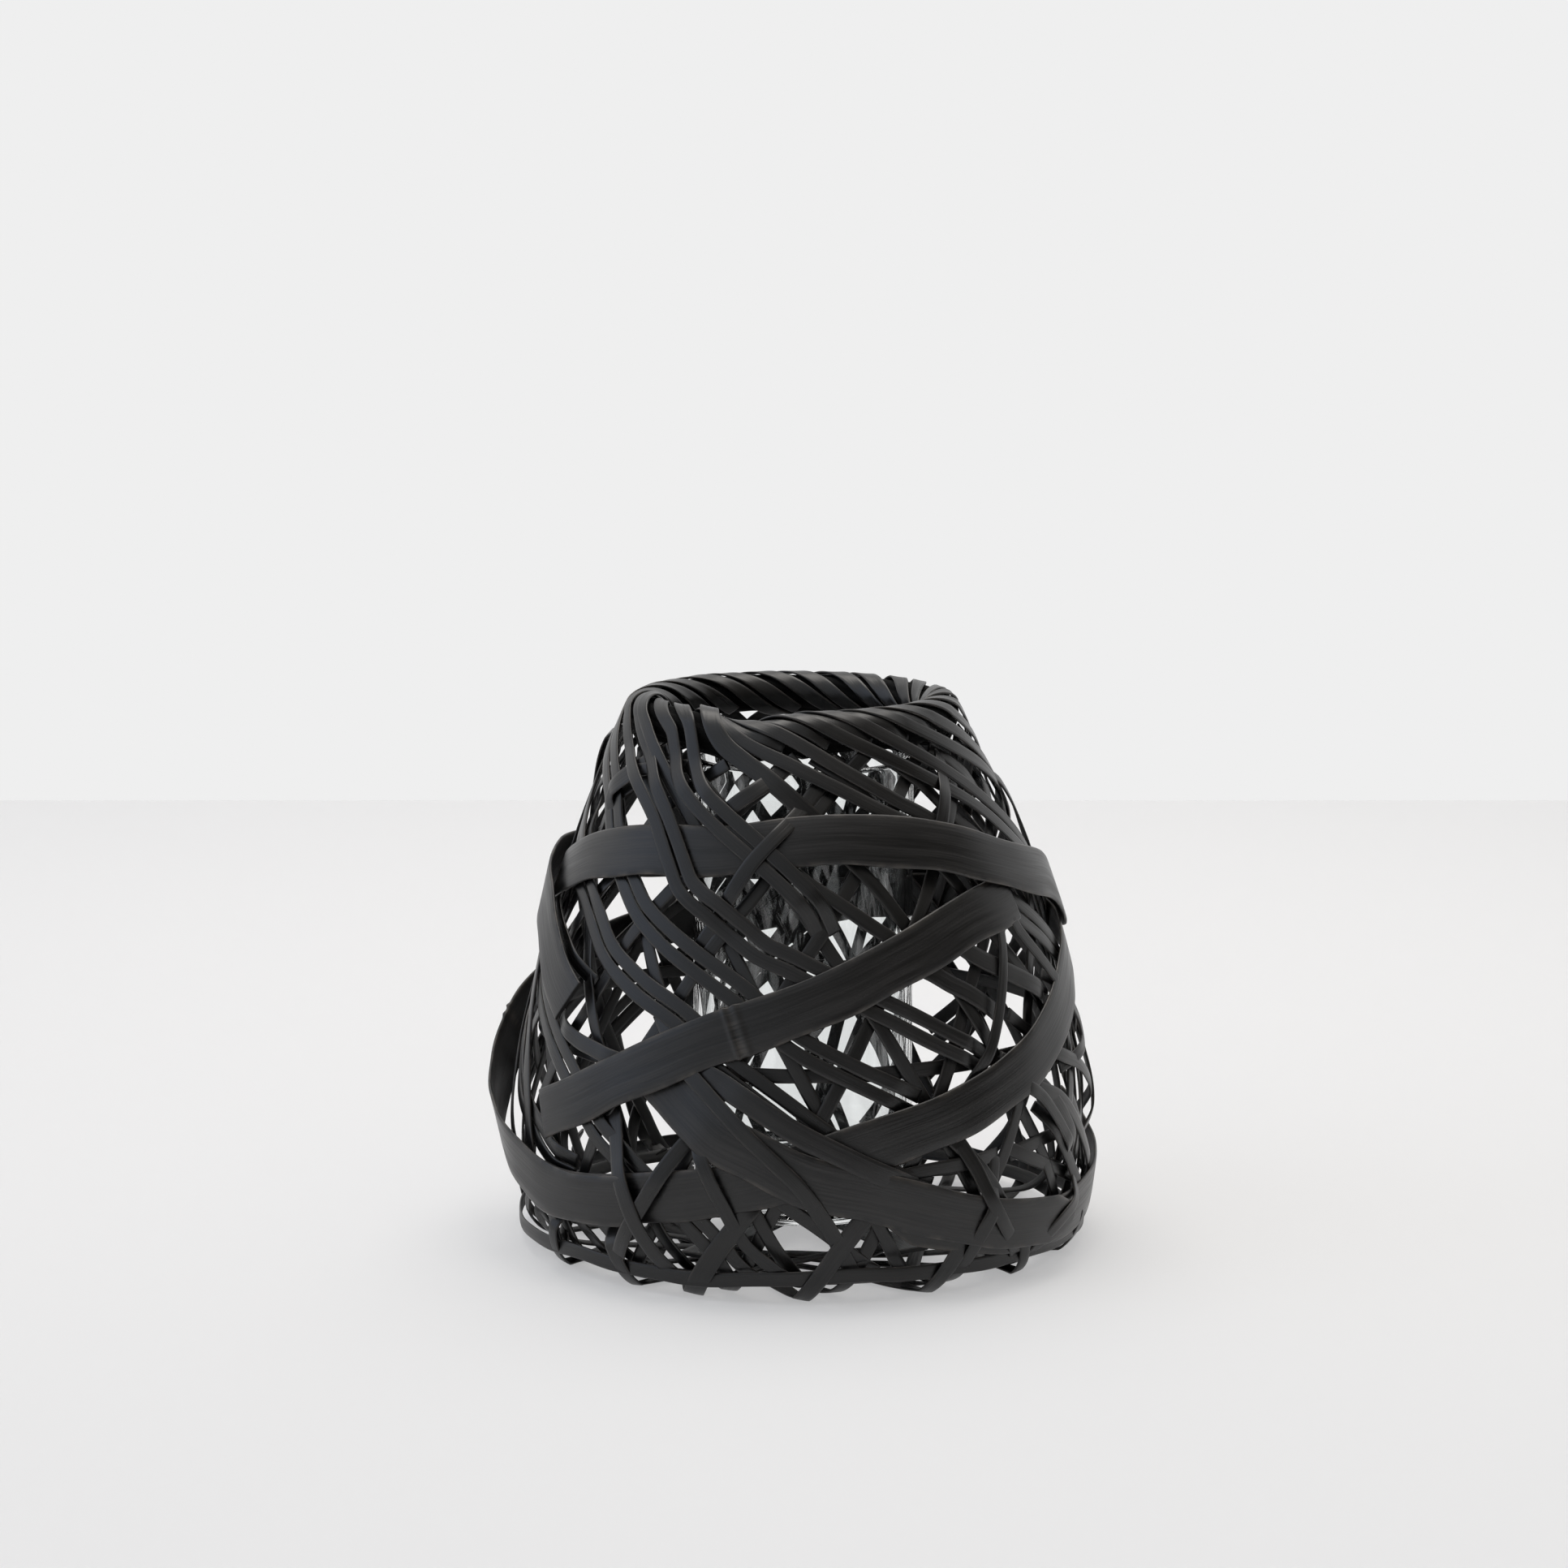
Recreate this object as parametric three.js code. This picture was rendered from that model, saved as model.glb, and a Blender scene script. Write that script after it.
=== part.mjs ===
// An ikebana basket: black bamboo strips plaited in the loose, irregular way, with a rolled rim, wide
// bands wound round the outside, and a glass water tube that stands loose inside.
// Millimetres, +Z up. The front is towards -Y; angles run from the front towards +X, in degrees.
import * as THREE from 'three';

// Narrow strips: the stakes, the returns and the hoops.
const STRIP_WIDTH = 3.2;
const STRIP_THICKNESS = 0.6;

// Wide bands wound round the outside.
const BAND_WIDTH = 11.5;
const BAND_THICKNESS = 0.9;

// Clearances: between stakes on the floor, between stakes on the side, under the returns, on each side
// of a wide band, and round the core of the rim.
const FLOOR_GAP = 0.43;
const WEAVE_GAP = 0.6;
const LAYER_GAP = 0.35;
const BAND_GAP = 0.6;
const ROLL_GAP = 0.5;

// The body, measured to the middle of the stakes. It leans a little to the left towards the top. A share is
// always a share of the whole height.
const FLOOR_RADIUS = 50;
const BELLY_RADIUS = 65.5;
const BELLY_HEIGHT = 27;
const NECK_RADIUS = 37;
const NECK_HEIGHT = 123.8;
const CORNER_POWER = 3.5;
const SHOULDER_POWER = 1.6;
const LEAN = -2.2;
const LEAN_START_SHARE = 0.666;
const LEAN_END_SHARE = 0.955;

// The stakes cross the floor as chords, this far from its middle, and climb the side at both ends until they
// stop below the neck.
const STAKE_COUNT = 16;
const STAKE_REACH = 30;
const STAKE_TOP = NECK_HEIGHT - 5.6;
const STAKE_START = 15;

// One hoop lies between the two halves of every stake at the foot, and one inside the stakes at the waist.
const FOOT_HOOP_HEIGHT = 4.6;
const FOOT_HOOP_TOP = 8.2;
const WAIST_HOOP_SHARE = 0.4;

// The rim is a round core with the returns wrapped over it as far as this angle of its section.
const CORE_RADIUS = 4.1;
const RIM_END = 245;

// The returns come over the rim in pairs, leaning by this angle, and close up below this share. Some pairs
// ride over the shoulder band between two shares, and climb on to it over a short ramp.
const RETURN_LEAN = 60;
const TWIN_SPACING = 3.6;
const TWINS_CLOSE_SHARE = 0.8;
const RIDE_LOW_SHARE = 0.689;
const RIDE_HIGH_SHARE = 0.853;
const RIDE_RAMP_SHARE = 0.071;

// The braces that carry the tube.
const BRACE_COUNT = 3;
const BRACE_WIDTH = 9;
const BRACE_THICKNESS = 0.7;
const BRACE_LENGTH = 98;

// The glass water tube, a little to the right of the middle.
const TUBE_RADIUS = 25.5;
const TUBE_HEIGHT = 106;
const TUBE_WALL = 2;
const TUBE_FLOOR = 5;
const TUBE_EDGE = 0.7;
const TUBE_SEAT_GAP = 0.3;
const TUBE_OFFSET = 0.2;

// How finely the curves are divided.
const MERIDIAN_STEPS = 240;
const CLIMB_STEPS = 600;
const HOOP_STEPS = 72;
const CORE_STEPS = 48;
const CORE_SIDES = 10;
const ROLL_STEPS = 16;
const RETURN_STEP_ANGLE = 7.5;
const BAND_STEP_ANGLE = 6;
const TUBE_SIDES = 48;

// Each pair of returns: its angle at the neck, and then [angle, share of the height] down the outside.
const RETURN_SHARES = [
  { neck: -42, rides: true, row: [[-33, 0.895], [-26, 0.845], [-19, 0.808], [-12, 0.772], [-4, 0.722],
    [2.6, 0.672], [6, 0.63]] },
  { neck: -102, row: [[-66, 0.846], [-57, 0.769], [-47, 0.697], [-40, 0.651], [-21, 0.567], [-12, 0.523],
    [-2, 0.456], [8, 0.41], [23, 0.343]] },
  { neck: -132, row: [[-98, 0.846], [-87, 0.764], [-74, 0.702], [-63, 0.661], [-56, 0.625], [-48, 0.574],
    [-38, 0.533], [-25, 0.482], [-15, 0.41], [-9, 0.374], [-3, 0.338], [6, 0.282], [18, 0.215], [25, 0.19]] },
  { neck: -162, row: [[-131, 0.846], [-118, 0.748], [-104, 0.656], [-92, 0.574], [-80, 0.502], [-66, 0.43],
    [-52, 0.348], [-44, 0.282], [-38, 0.246], [-30, 0.195], [-19, 0.133]] },
  { neck: -192, row: [[-164, 0.846], [-152, 0.758], [-138, 0.666], [-124, 0.564], [-110, 0.471], [-98, 0.41],
    [-85, 0.354], [-78, 0.297], [-66, 0.251], [-57, 0.21], [-51, 0.195]] },
  { neck: 138, row: [[163, 0.846], [175, 0.758], [187, 0.676], [201, 0.589], [217, 0.502], [231, 0.42],
    [243, 0.348], [254, 0.277], [264, 0.205]] },
  { neck: 108, row: [[136, 0.851], [150, 0.758], [163, 0.676], [177, 0.589], [192, 0.502], [206, 0.42],
    [218, 0.348], [228, 0.277], [237, 0.205]] },
  { neck: 78, row: [[108, 0.871], [124, 0.789], [139, 0.707], [154, 0.615], [169, 0.523], [183, 0.43],
    [195, 0.348], [206, 0.266]] },
  { neck: 48, row: [[69, 0.912], [84, 0.861], [101, 0.789], [115, 0.717], [129, 0.625], [143, 0.533], [157, 0.441],
    [169, 0.348], [179, 0.256]] },
  { neck: 18, row: [[42, 0.897], [60, 0.83], [76, 0.748], [92, 0.656], [108, 0.559], [122, 0.466], [136, 0.369],
    [150, 0.266]] },
  { neck: -12, row: [[13, 0.887], [27, 0.835], [38, 0.794], [48, 0.728], [57, 0.656], [72, 0.574], [86, 0.482],
    [100, 0.379], [116, 0.266]] },
  { neck: -72, rides: true, row: [[-62, 0.935], [-54, 0.904], [-47.5, 0.875], [-42, 0.842], [-37.5, 0.81],
    [-34, 0.775], [-31, 0.74], [-27.5, 0.7], [-20, 0.662], [-14.7, 0.634], [-9, 0.604], [-2.3, 0.583],
    [18, 0.503], [31, 0.441], [40, 0.4]] },
];

// The wide bands, each point [angle, share of the height, layer]. One layer more clears the band below, and
// the two long bands end in a lap over their own beginnings, where they stand out from the left side.
const BAND_SHARES = {
  shoulder_band: [[-110, 0.6, 0], [-96, 0.625, 0], [-84, 0.666, 0], [-75, 0.692, 0], [-60, 0.728, 0],
    [-40, 0.753, 0], [-20, 0.764, 0], [0, 0.784, 0], [20, 0.779, 0.3], [40, 0.753, 1], [60, 0.707, 1],
    [80, 0.661, 1], [100, 0.584, 1], [140, 0.574, 1], [180, 0.594, 1], [220, 0.625, 1], [240, 0.655, 1.4],
    [256, 0.657, 2], [268, 0.644, 2], [276, 0.628, 1.9], [284, 0.605, 1.6], [291, 0.565, 1.3], [298, 0.518, 1],
    [305, 0.478, 1]],
  middle_band: [[-60, 0.277, 0], [-50, 0.318, 0], [-40, 0.364, 0], [-20, 0.446, 0], [0, 0.512, 0],
    [20, 0.579, 0], [40, 0.635, 0], [57, 0.661, 0]],
  belly_band: [[-58, 0.157, 0], [-50, 0.152, 0], [-40, 0.16, 0], [-30, 0.178, 0], [-13, 0.21, 0], [0, 0.243, 0], [12, 0.277, 0], [30, 0.321, 0], [50, 0.379, 0],
    [60, 0.42, 0], [78, 0.502, 0], [95, 0.543, 0], [130, 0.553, 0], [180, 0.512, 0], [220, 0.466, 1],
    [236, 0.43, 2.2], [250, 0.369, 3.1], [262, 0.292, 3.3], [272, 0.245, 3.1], [284, 0.206, 2.1],
    [296, 0.172, 1.2], [304, 0.157, 1], [312, 0.156, 1], [319, 0.163, 1], [324, 0.17, 1]],
  low_band: [[-24, 0.343, 1], [-16, 0.297, 1], [-10, 0.272, 1], [0, 0.228, 1], [10, 0.203, 1], [20, 0.176, 1],
    [30, 0.147, 1], [40, 0.125, 1], [56, 0.103, 1], [63, 0.102, 1]],
  foot_band: [[14, 0.174, 0], [20, 0.154, 0], [30, 0.128, 0], [40, 0.111, 0], [55, 0.097, 0], [75, 0.102, 0],
    [95, 0.133, 0], [115, 0.174, 0]],
};

const { degToRad, radToDeg, clamp, lerp, smoothstep } = THREE.MathUtils;

// How far the middle of each layer stands off the middle of the weave.
const STRIP_HALF = STRIP_THICKNESS / 2;
const WEAVE_LIFT = (STRIP_THICKNESS + WEAVE_GAP) / 2;
const HOOP_LIFT = STRIP_THICKNESS + WEAVE_GAP;
const RETURN_LIFT = WEAVE_LIFT + STRIP_THICKNESS + LAYER_GAP;
const BAND_LIFT = RETURN_LIFT + STRIP_HALF + BAND_GAP + BAND_THICKNESS / 2;
const BAND_PITCH = BAND_THICKNESS + BAND_GAP;
const RIDE_LIFT = BAND_LIFT + (BAND_THICKNESS + STRIP_THICKNESS) / 2 + BAND_GAP;

// On the floor a stake climbs steadily from under its neighbours on one side to over those on the other,
// and is level again once it has passed them.
const STAKE_PITCH = 360 / STAKE_COUNT;
const HALF_PITCH = STAKE_PITCH / 2;
const pitchAngle = degToRad(STAKE_PITCH);
const crossingAt = STAKE_REACH * Math.tan(pitchAngle / 2);
const crossingLength = (STRIP_WIDTH / 2) * (1 / Math.sin(pitchAngle) + 1 / Math.tan(pitchAngle));
const rampLength = crossingAt + crossingLength;
const FLOOR_LIFT = ((STRIP_THICKNESS + FLOOR_GAP) * rampLength) / (2 * crossingAt);
const FLOOR_HEIGHT = FLOOR_LIFT + STRIP_HALF;

// The meridian: the floor, the round corner and the side, as lists of radius, height and length so far.
const radii = [];
const heights = [];
for (let i = 0; i <= MERIDIAN_STEPS; i++) {
  radii.push((FLOOR_RADIUS * i) / MERIDIAN_STEPS);
  heights.push(FLOOR_HEIGHT);
}
for (let i = 1; i <= MERIDIAN_STEPS; i++) {
  const turn = ((Math.PI / 2) * i) / MERIDIAN_STEPS;
  radii.push(FLOOR_RADIUS + (BELLY_RADIUS - FLOOR_RADIUS) * Math.sin(turn) ** (2 / CORNER_POWER));
  heights.push(BELLY_HEIGHT - (BELLY_HEIGHT - FLOOR_HEIGHT) * Math.cos(turn) ** (2 / CORNER_POWER));
}
for (let i = 1; i <= MERIDIAN_STEPS; i++) {
  const share = i / MERIDIAN_STEPS;
  radii.push(lerp(BELLY_RADIUS, NECK_RADIUS, share ** SHOULDER_POWER));
  heights.push(lerp(BELLY_HEIGHT, NECK_HEIGHT, share));
}
const lengths = [0];
for (let i = 1; i < radii.length; i++) {
  lengths.push(lengths[i - 1] + Math.hypot(radii[i] - radii[i - 1], heights[i] - heights[i - 1]));
}
const NECK_LENGTH = lengths[lengths.length - 1];

// Straight-line interpolation of ys at x, where xs rises.
function interpolate(x, xs, ys) {
  let low = 0;
  let high = xs.length - 1;
  while (high - low > 1) {
    const middle = (low + high) >> 1;
    if (xs[middle] > x) high = middle;
    else low = middle;
  }
  return lerp(ys[low], ys[high], clamp((x - xs[low]) / (xs[high] - xs[low]), 0, 1));
}

// A smooth curve of ys over xs, whose slope at each point is that of the line between its neighbours.
function smooth(x, xs, ys) {
  const last = xs.length - 1;
  const slope = (k) => {
    const before = Math.max(k - 1, 0);
    const after = Math.min(k + 1, last);
    return (ys[after] - ys[before]) / (xs[after] - xs[before]);
  };
  let i = 0;
  while (i < last - 1 && xs[i + 1] <= x) i++;
  const span = xs[i + 1] - xs[i];
  const u = (x - xs[i]) / span;
  const v = 1 - u;
  const level = ys[i] * v * v * (1 + 2 * u) + ys[i + 1] * u * u * (3 - 2 * u);
  return level + span * u * v * (slope(i) * v - slope(i + 1) * u);
}

const sideHeights = heights.slice(MERIDIAN_STEPS);
const sideLengths = lengths.slice(MERIDIAN_STEPS);
const lengthAtHeight = (height) => interpolate(height, sideHeights, sideLengths);
const heightAtLength = (length) => interpolate(length, lengths, heights);
const radiusAtLength = (length) => interpolate(length, lengths, radii);

// Past the neck the meridian rolls over the core of the rim.
const NECK_TURN = Math.atan((SHOULDER_POWER * (BELLY_RADIUS - NECK_RADIUS)) / (NECK_HEIGHT - BELLY_HEIGHT));
const ROLL_RADIUS = CORE_RADIUS + ROLL_GAP + STRIP_HALF;
const RIM_RADIUS = NECK_RADIUS + (RETURN_LIFT - ROLL_RADIUS) * Math.cos(NECK_TURN);
const RIM_HEIGHT = NECK_HEIGHT + (RETURN_LIFT - ROLL_RADIUS) * Math.sin(NECK_TURN);
const HEIGHT = RIM_HEIGHT + ROLL_RADIUS + STRIP_HALF;

// The point this far along the meridian, at an angle, standing off by a lift, and its outward normal.
function surface(length, angle, lift) {
  let tilt;
  let r;
  let z;
  if (length <= NECK_LENGTH) {
    const step = FLOOR_RADIUS / MERIDIAN_STEPS / 2;
    const before = Math.max(length - step, 0);
    const after = Math.min(length + step, NECK_LENGTH);
    const rise = heightAtLength(after) - heightAtLength(before);
    const run = radiusAtLength(after) - radiusAtLength(before);
    tilt = Math.atan2(-run, rise);
    r = radiusAtLength(length) + lift * Math.cos(tilt);
    z = heightAtLength(length) + lift * Math.sin(tilt);
  } else {
    tilt = NECK_TURN + (length - NECK_LENGTH) / ROLL_RADIUS;
    const reach = ROLL_RADIUS + lift - RETURN_LIFT;
    r = RIM_RADIUS + reach * Math.cos(tilt);
    z = RIM_HEIGHT + reach * Math.sin(tilt);
  }
  const sine = Math.sin(degToRad(angle));
  const cosine = Math.cos(degToRad(angle));
  const lean = LEAN * smoothstep(z / HEIGHT, LEAN_START_SHARE, LEAN_END_SHARE);
  return {
    point: new THREE.Vector3(r * sine + lean, -r * cosine, z),
    normal: new THREE.Vector3(Math.cos(tilt) * sine, -Math.cos(tilt) * cosine, Math.sin(tilt)),
  };
}

// A strip of rectangular section along a route, which gives a point and a normal for a share from 0 to 1.
function strip(route, stations, width, thickness, closed = false) {
  const nudge = 1e-3;
  const sides = [[1, 1], [-1, 1], [-1, -1], [1, -1]];
  const positions = [];
  const indices = [];
  for (const t of stations) {
    const { point, normal } = route(t);
    const ahead = route(closed ? t + nudge : Math.min(t + nudge, 1)).point;
    const behind = route(closed ? t - nudge : Math.max(t - nudge, 0)).point;
    const forward = ahead.sub(behind).normalize();
    const across = new THREE.Vector3().crossVectors(forward, normal).normalize();
    const out = new THREE.Vector3().crossVectors(across, forward);
    for (const [side, face] of sides) {
      const corner = point.clone();
      corner.addScaledVector(across, (side * width) / 2);
      corner.addScaledVector(out, (face * thickness) / 2);
      positions.push(...corner);
    }
  }
  const rings = stations.length;
  const corners = sides.length;
  for (let i = 0; i < (closed ? rings : rings - 1); i++) {
    const a = i * corners;
    const b = ((i + 1) % rings) * corners;
    for (let k = 0; k < corners; k++) {
      const next = (k + 1) % corners;
      indices.push(a + k, b + next, a + next);
      indices.push(a + k, b + k, b + next);
    }
  }
  if (!closed) {
    const end = (rings - 1) * corners;
    indices.push(0, 1, 2, 0, 2, 3);
    indices.push(end, end + 2, end + 1, end, end + 3, end + 2);
  }
  const geometry = new THREE.BufferGeometry();
  geometry.setAttribute('position', new THREE.Float32BufferAttribute(positions, 3));
  geometry.setIndex(indices);
  geometry.computeVertexNormals();
  return geometry;
}

function evenly(steps) {
  return Array.from({ length: steps + 1 }, (_, i) => i / steps);
}

const bamboo = new THREE.MeshStandardMaterial({ color: 0x2b292b, roughness: 0.5, metalness: 0 });
const wideBamboo = new THREE.MeshStandardMaterial({ color: 0x2f2d2e, roughness: 0.42, metalness: 0 });
const coreBamboo = new THREE.MeshStandardMaterial({ color: 0x19181a, roughness: 0.6, metalness: 0 });
const glass = new THREE.MeshStandardMaterial({ color: 0xe9f0ef, roughness: 0.03, metalness: 0 });
glass.transparent = true;
glass.opacity = 0.25;

const basket = new THREE.Group();
function add(name, geometry, material) {
  const mesh = new THREE.Mesh(geometry, material);
  mesh.name = name;
  basket.add(mesh);
  return mesh;
}
const numbered = (name, i) => `${name}_${String(i + 1).padStart(2, '0')}`;

// A stake takes the shortest way over the body, as a flat strip does: the radius times the sine of its lean
// stays the same. It crosses another stake each time that it has wound half a pitch further round.
const climbStart = lengths[radii.findIndex((r) => r >= STAKE_REACH)];
const climbEnd = lengthAtHeight(STAKE_TOP);
const climbLengths = [];
const crossings = [];
for (let i = 0; i <= CLIMB_STEPS; i++) {
  const length = lerp(climbStart, climbEnd, i / CLIMB_STEPS);
  const r = Math.max(radiusAtLength(length), STAKE_REACH);
  if (length <= FLOOR_RADIUS) {
    crossings.push(radToDeg(Math.acos(STAKE_REACH / r)) / HALF_PITCH);
  } else {
    const turn = STAKE_REACH / (r * Math.sqrt(r * r - STAKE_REACH * STAKE_REACH));
    crossings.push(crossings[i - 1] + (radToDeg(turn) * (length - climbLengths[i - 1])) / HALF_PITCH);
  }
  climbLengths.push(length);
}
const LAST_CROSSING = crossings[CLIMB_STEPS];
const FLOOR_CROSSING = interpolate(FLOOR_RADIUS, climbLengths, crossings);
const HOOP_CROSSING = interpolate(lengthAtHeight(FOOT_HOOP_TOP), climbLengths, crossings);
const RAMP_CROSSING = radToDeg(Math.atan(rampLength / STAKE_REACH)) / HALF_PITCH;

// Where a stake changes its lift, counted in crossings: level on the floor past the ramp, clear of the foot
// hoop from between the fourth and the fifth crossing, and over and under by turns from the sixth.
const FLOOR_END_COUNT = 4.3;
const HOOP_START_COUNT = 4.7;
const CORNER_COUNT = 5.1;
const FIRST_WEAVE = 6;
const LEVEL_COUNT = 0.25;
const FIRST_LEVEL_COUNT = 0.13;
const liftAt = [0, RAMP_CROSSING, FLOOR_END_COUNT, HOOP_START_COUNT, HOOP_CROSSING];
const lifts = [0, FLOOR_LIFT, FLOOR_LIFT, HOOP_LIFT, HOOP_LIFT];
for (let k = FIRST_WEAVE; k - LEVEL_COUNT < LAST_CROSSING; k++) {
  const lift = k % 2 ? WEAVE_LIFT : -WEAVE_LIFT;
  const lead = k === FIRST_WEAVE ? FIRST_LEVEL_COUNT : LEVEL_COUNT;
  liftAt.push(k - lead, Math.min(k + LEVEL_COUNT, LAST_CROSSING));
  lifts.push(lift, lift);
}
const cornerStations = [CORNER_COUNT, (HOOP_CROSSING + CORNER_COUNT) / 2];
const climbStations = [...new Set([...liftAt.slice(1), ...cornerStations, LAST_CROSSING])];
climbStations.sort((a, b) => a - b);
const stakeStations = [...climbStations.map((q) => -q).reverse(), ...climbStations];

function stakeRoute(middle) {
  return (t) => {
    const passed = (2 * t - 1) * LAST_CROSSING;
    const count = Math.abs(passed);
    const turned = passed * HALF_PITCH;
    const chord = STAKE_REACH / Math.cos(degToRad(turned));
    const length = count < FLOOR_CROSSING ? chord : interpolate(count, crossings, climbLengths);
    return surface(length, middle + turned, Math.sign(passed) * interpolate(count, liftAt, lifts));
  };
}
for (let i = 0; i < STAKE_COUNT; i++) {
  const stations = stakeStations.map((q) => (q / LAST_CROSSING + 1) / 2);
  const route = stakeRoute(STAKE_START + i * STAKE_PITCH);
  add(numbered('stake', i), strip(route, stations, STRIP_WIDTH, STRIP_THICKNESS), bamboo);
}

// The two hoops, each a closed ring.
function hoop(name, height, lift) {
  const route = (t) => surface(lengthAtHeight(height), 360 * t, lift);
  add(name, strip(route, evenly(HOOP_STEPS).slice(1), STRIP_WIDTH, STRIP_THICKNESS, true), bamboo);
}
hoop('foot_hoop', FOOT_HOOP_HEIGHT, 0);
hoop('waist_hoop', WAIST_HOOP_SHARE * HEIGHT, -RETURN_LIFT);

// The core of the rim.
const core = new THREE.TorusGeometry(RIM_RADIUS, CORE_RADIUS, CORE_SIDES, CORE_STEPS);
add('rim_core', core, coreBamboo).position.set(LEAN, 0, RIM_HEIGHT);

// The returns. At the rim the twins of a pair are as far apart as the pairs are, and lower down they close up.
const rimStrips = 2 * RETURN_SHARES.length;
const rollLength = ROLL_RADIUS * (degToRad(RIM_END) - NECK_TURN);
const rollAngle = radToDeg((rollLength * Math.tan(degToRad(RETURN_LEAN))) / (NECK_RADIUS + RETURN_LIFT));
const twinsClose = lengthAtHeight(TWINS_CLOSE_SHARE * HEIGHT);

function returnRoute({ neck, row, rides }, side) {
  const angles = row.map(([angle]) => angle);
  const places = row.map(([, share]) => lengthAtHeight(share * HEIGHT));
  angles.unshift(neck - rollAngle, neck);
  places.unshift(NECK_LENGTH + rollLength, NECK_LENGTH);
  return (t) => {
    const angle = lerp(angles[0], angles[angles.length - 1], t);
    const place = smooth(angle, angles, places);
    const r = -surface(place, 0, 0).point.y;
    const perDegree = smooth(angle + 0.5, angles, places) - smooth(angle - 0.5, angles, places);
    const heading = Math.atan2(perDegree, degToRad(1) * r);
    const rimHalf = ((Math.PI * r) / rimStrips) * Math.cos(degToRad(RETURN_LEAN));
    const half = lerp(TWIN_SPACING / 2, rimHalf, smoothstep(place, twinsClose, NECK_LENGTH));
    const twinPlace = place + side * half * Math.cos(heading);
    const twinAngle = angle - radToDeg((side * half * Math.sin(heading)) / r);
    const share = heightAtLength(twinPlace) / HEIGHT;
    const on = smoothstep(share, RIDE_LOW_SHARE - RIDE_RAMP_SHARE, RIDE_LOW_SHARE);
    const off = smoothstep(share, RIDE_HIGH_SHARE, RIDE_HIGH_SHARE + RIDE_RAMP_SHARE);
    return surface(twinPlace, twinAngle, rides ? lerp(RETURN_LIFT, RIDE_LIFT, on * (1 - off)) : RETURN_LIFT);
  };
}

// The stations of a return: close together where it rolls over the rim and bends down, and wider below.
function returnStations({ neck, row }) {
  const end = row[row.length - 1][0];
  const total = rollAngle + end - neck;
  const bend = rollAngle + RETURN_STEP_ANGLE;
  const roll = evenly(ROLL_STEPS).map((share) => share * bend);
  const down = evenly(Math.round((total - bend) / RETURN_STEP_ANGLE)).map((share) => lerp(bend, total, share));
  return [...roll, ...down.slice(1)].map((angle) => angle / total);
}

RETURN_SHARES.forEach((pair, i) => {
  for (const [letter, side] of [['a', 1], ['b', -1]]) {
    const twin = strip(returnRoute(pair, side), returnStations(pair), STRIP_WIDTH, STRIP_THICKNESS);
    add(`${numbered('return', i)}_${letter}`, twin, bamboo);
  }
});

// The wide bands.
for (const [name, row] of Object.entries(BAND_SHARES)) {
  const angles = row.map(([angle]) => angle);
  const places = row.map(([, share]) => lengthAtHeight(share * HEIGHT));
  const layers = row.map(([, , layer]) => layer);
  const turned = angles[angles.length - 1] - angles[0];
  const route = (t) => {
    const angle = angles[0] + turned * t;
    const lift = BAND_LIFT + BAND_PITCH * interpolate(angle, angles, layers);
    return surface(smooth(angle, angles, places), angle, lift);
  };
  add(name, strip(route, evenly(Math.round(turned / BAND_STEP_ANGLE)), BAND_WIDTH, BAND_THICKNESS), wideBamboo);
}

// The braces: flat splints laid one over the other across the floor.
const braceBottom = FLOOR_HEIGHT + FLOOR_LIFT + STRIP_HALF + FLOOR_GAP;
const bracePitch = BRACE_THICKNESS + FLOOR_GAP;
for (let i = 0; i < BRACE_COUNT; i++) {
  const splint = new THREE.BoxGeometry(BRACE_LENGTH, BRACE_WIDTH, BRACE_THICKNESS);
  const brace = add(numbered('floor_brace', i), splint, bamboo);
  brace.position.z = braceBottom + BRACE_THICKNESS / 2 + i * bracePitch;
  brace.rotation.z = (Math.PI * i) / BRACE_COUNT;
}

// The water tube: a plain glass cylinder with a thick floor and an eased edge.
const tubeInside = TUBE_RADIUS - TUBE_WALL;
const tubeProfile = [
  [0, 0],
  [TUBE_RADIUS - TUBE_EDGE, 0],
  [TUBE_RADIUS, TUBE_EDGE],
  [TUBE_RADIUS, TUBE_HEIGHT - TUBE_EDGE],
  [TUBE_RADIUS - TUBE_EDGE, TUBE_HEIGHT],
  [tubeInside, TUBE_HEIGHT],
  [tubeInside, TUBE_FLOOR],
  [0, TUBE_FLOOR],
].map(([r, z]) => new THREE.Vector2(r, z));
const tube = add('water_tube', new THREE.LatheGeometry(tubeProfile, TUBE_SIDES).rotateX(Math.PI / 2), glass);
const tubeSeat = braceBottom + BRACE_COUNT * bracePitch - FLOOR_GAP + TUBE_SEAT_GAP;
tube.position.set(TUBE_OFFSET, 0, tubeSeat);

// The origin is under the middle of the whole basket, on the surface that it stands on.
basket.updateMatrixWorld(true);
const outline = new THREE.Box3().setFromObject(basket, true);
const middle = outline.getCenter(new THREE.Vector3());
basket.position.set(-middle.x, -middle.y, -outline.min.z);

export default basket;
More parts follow.
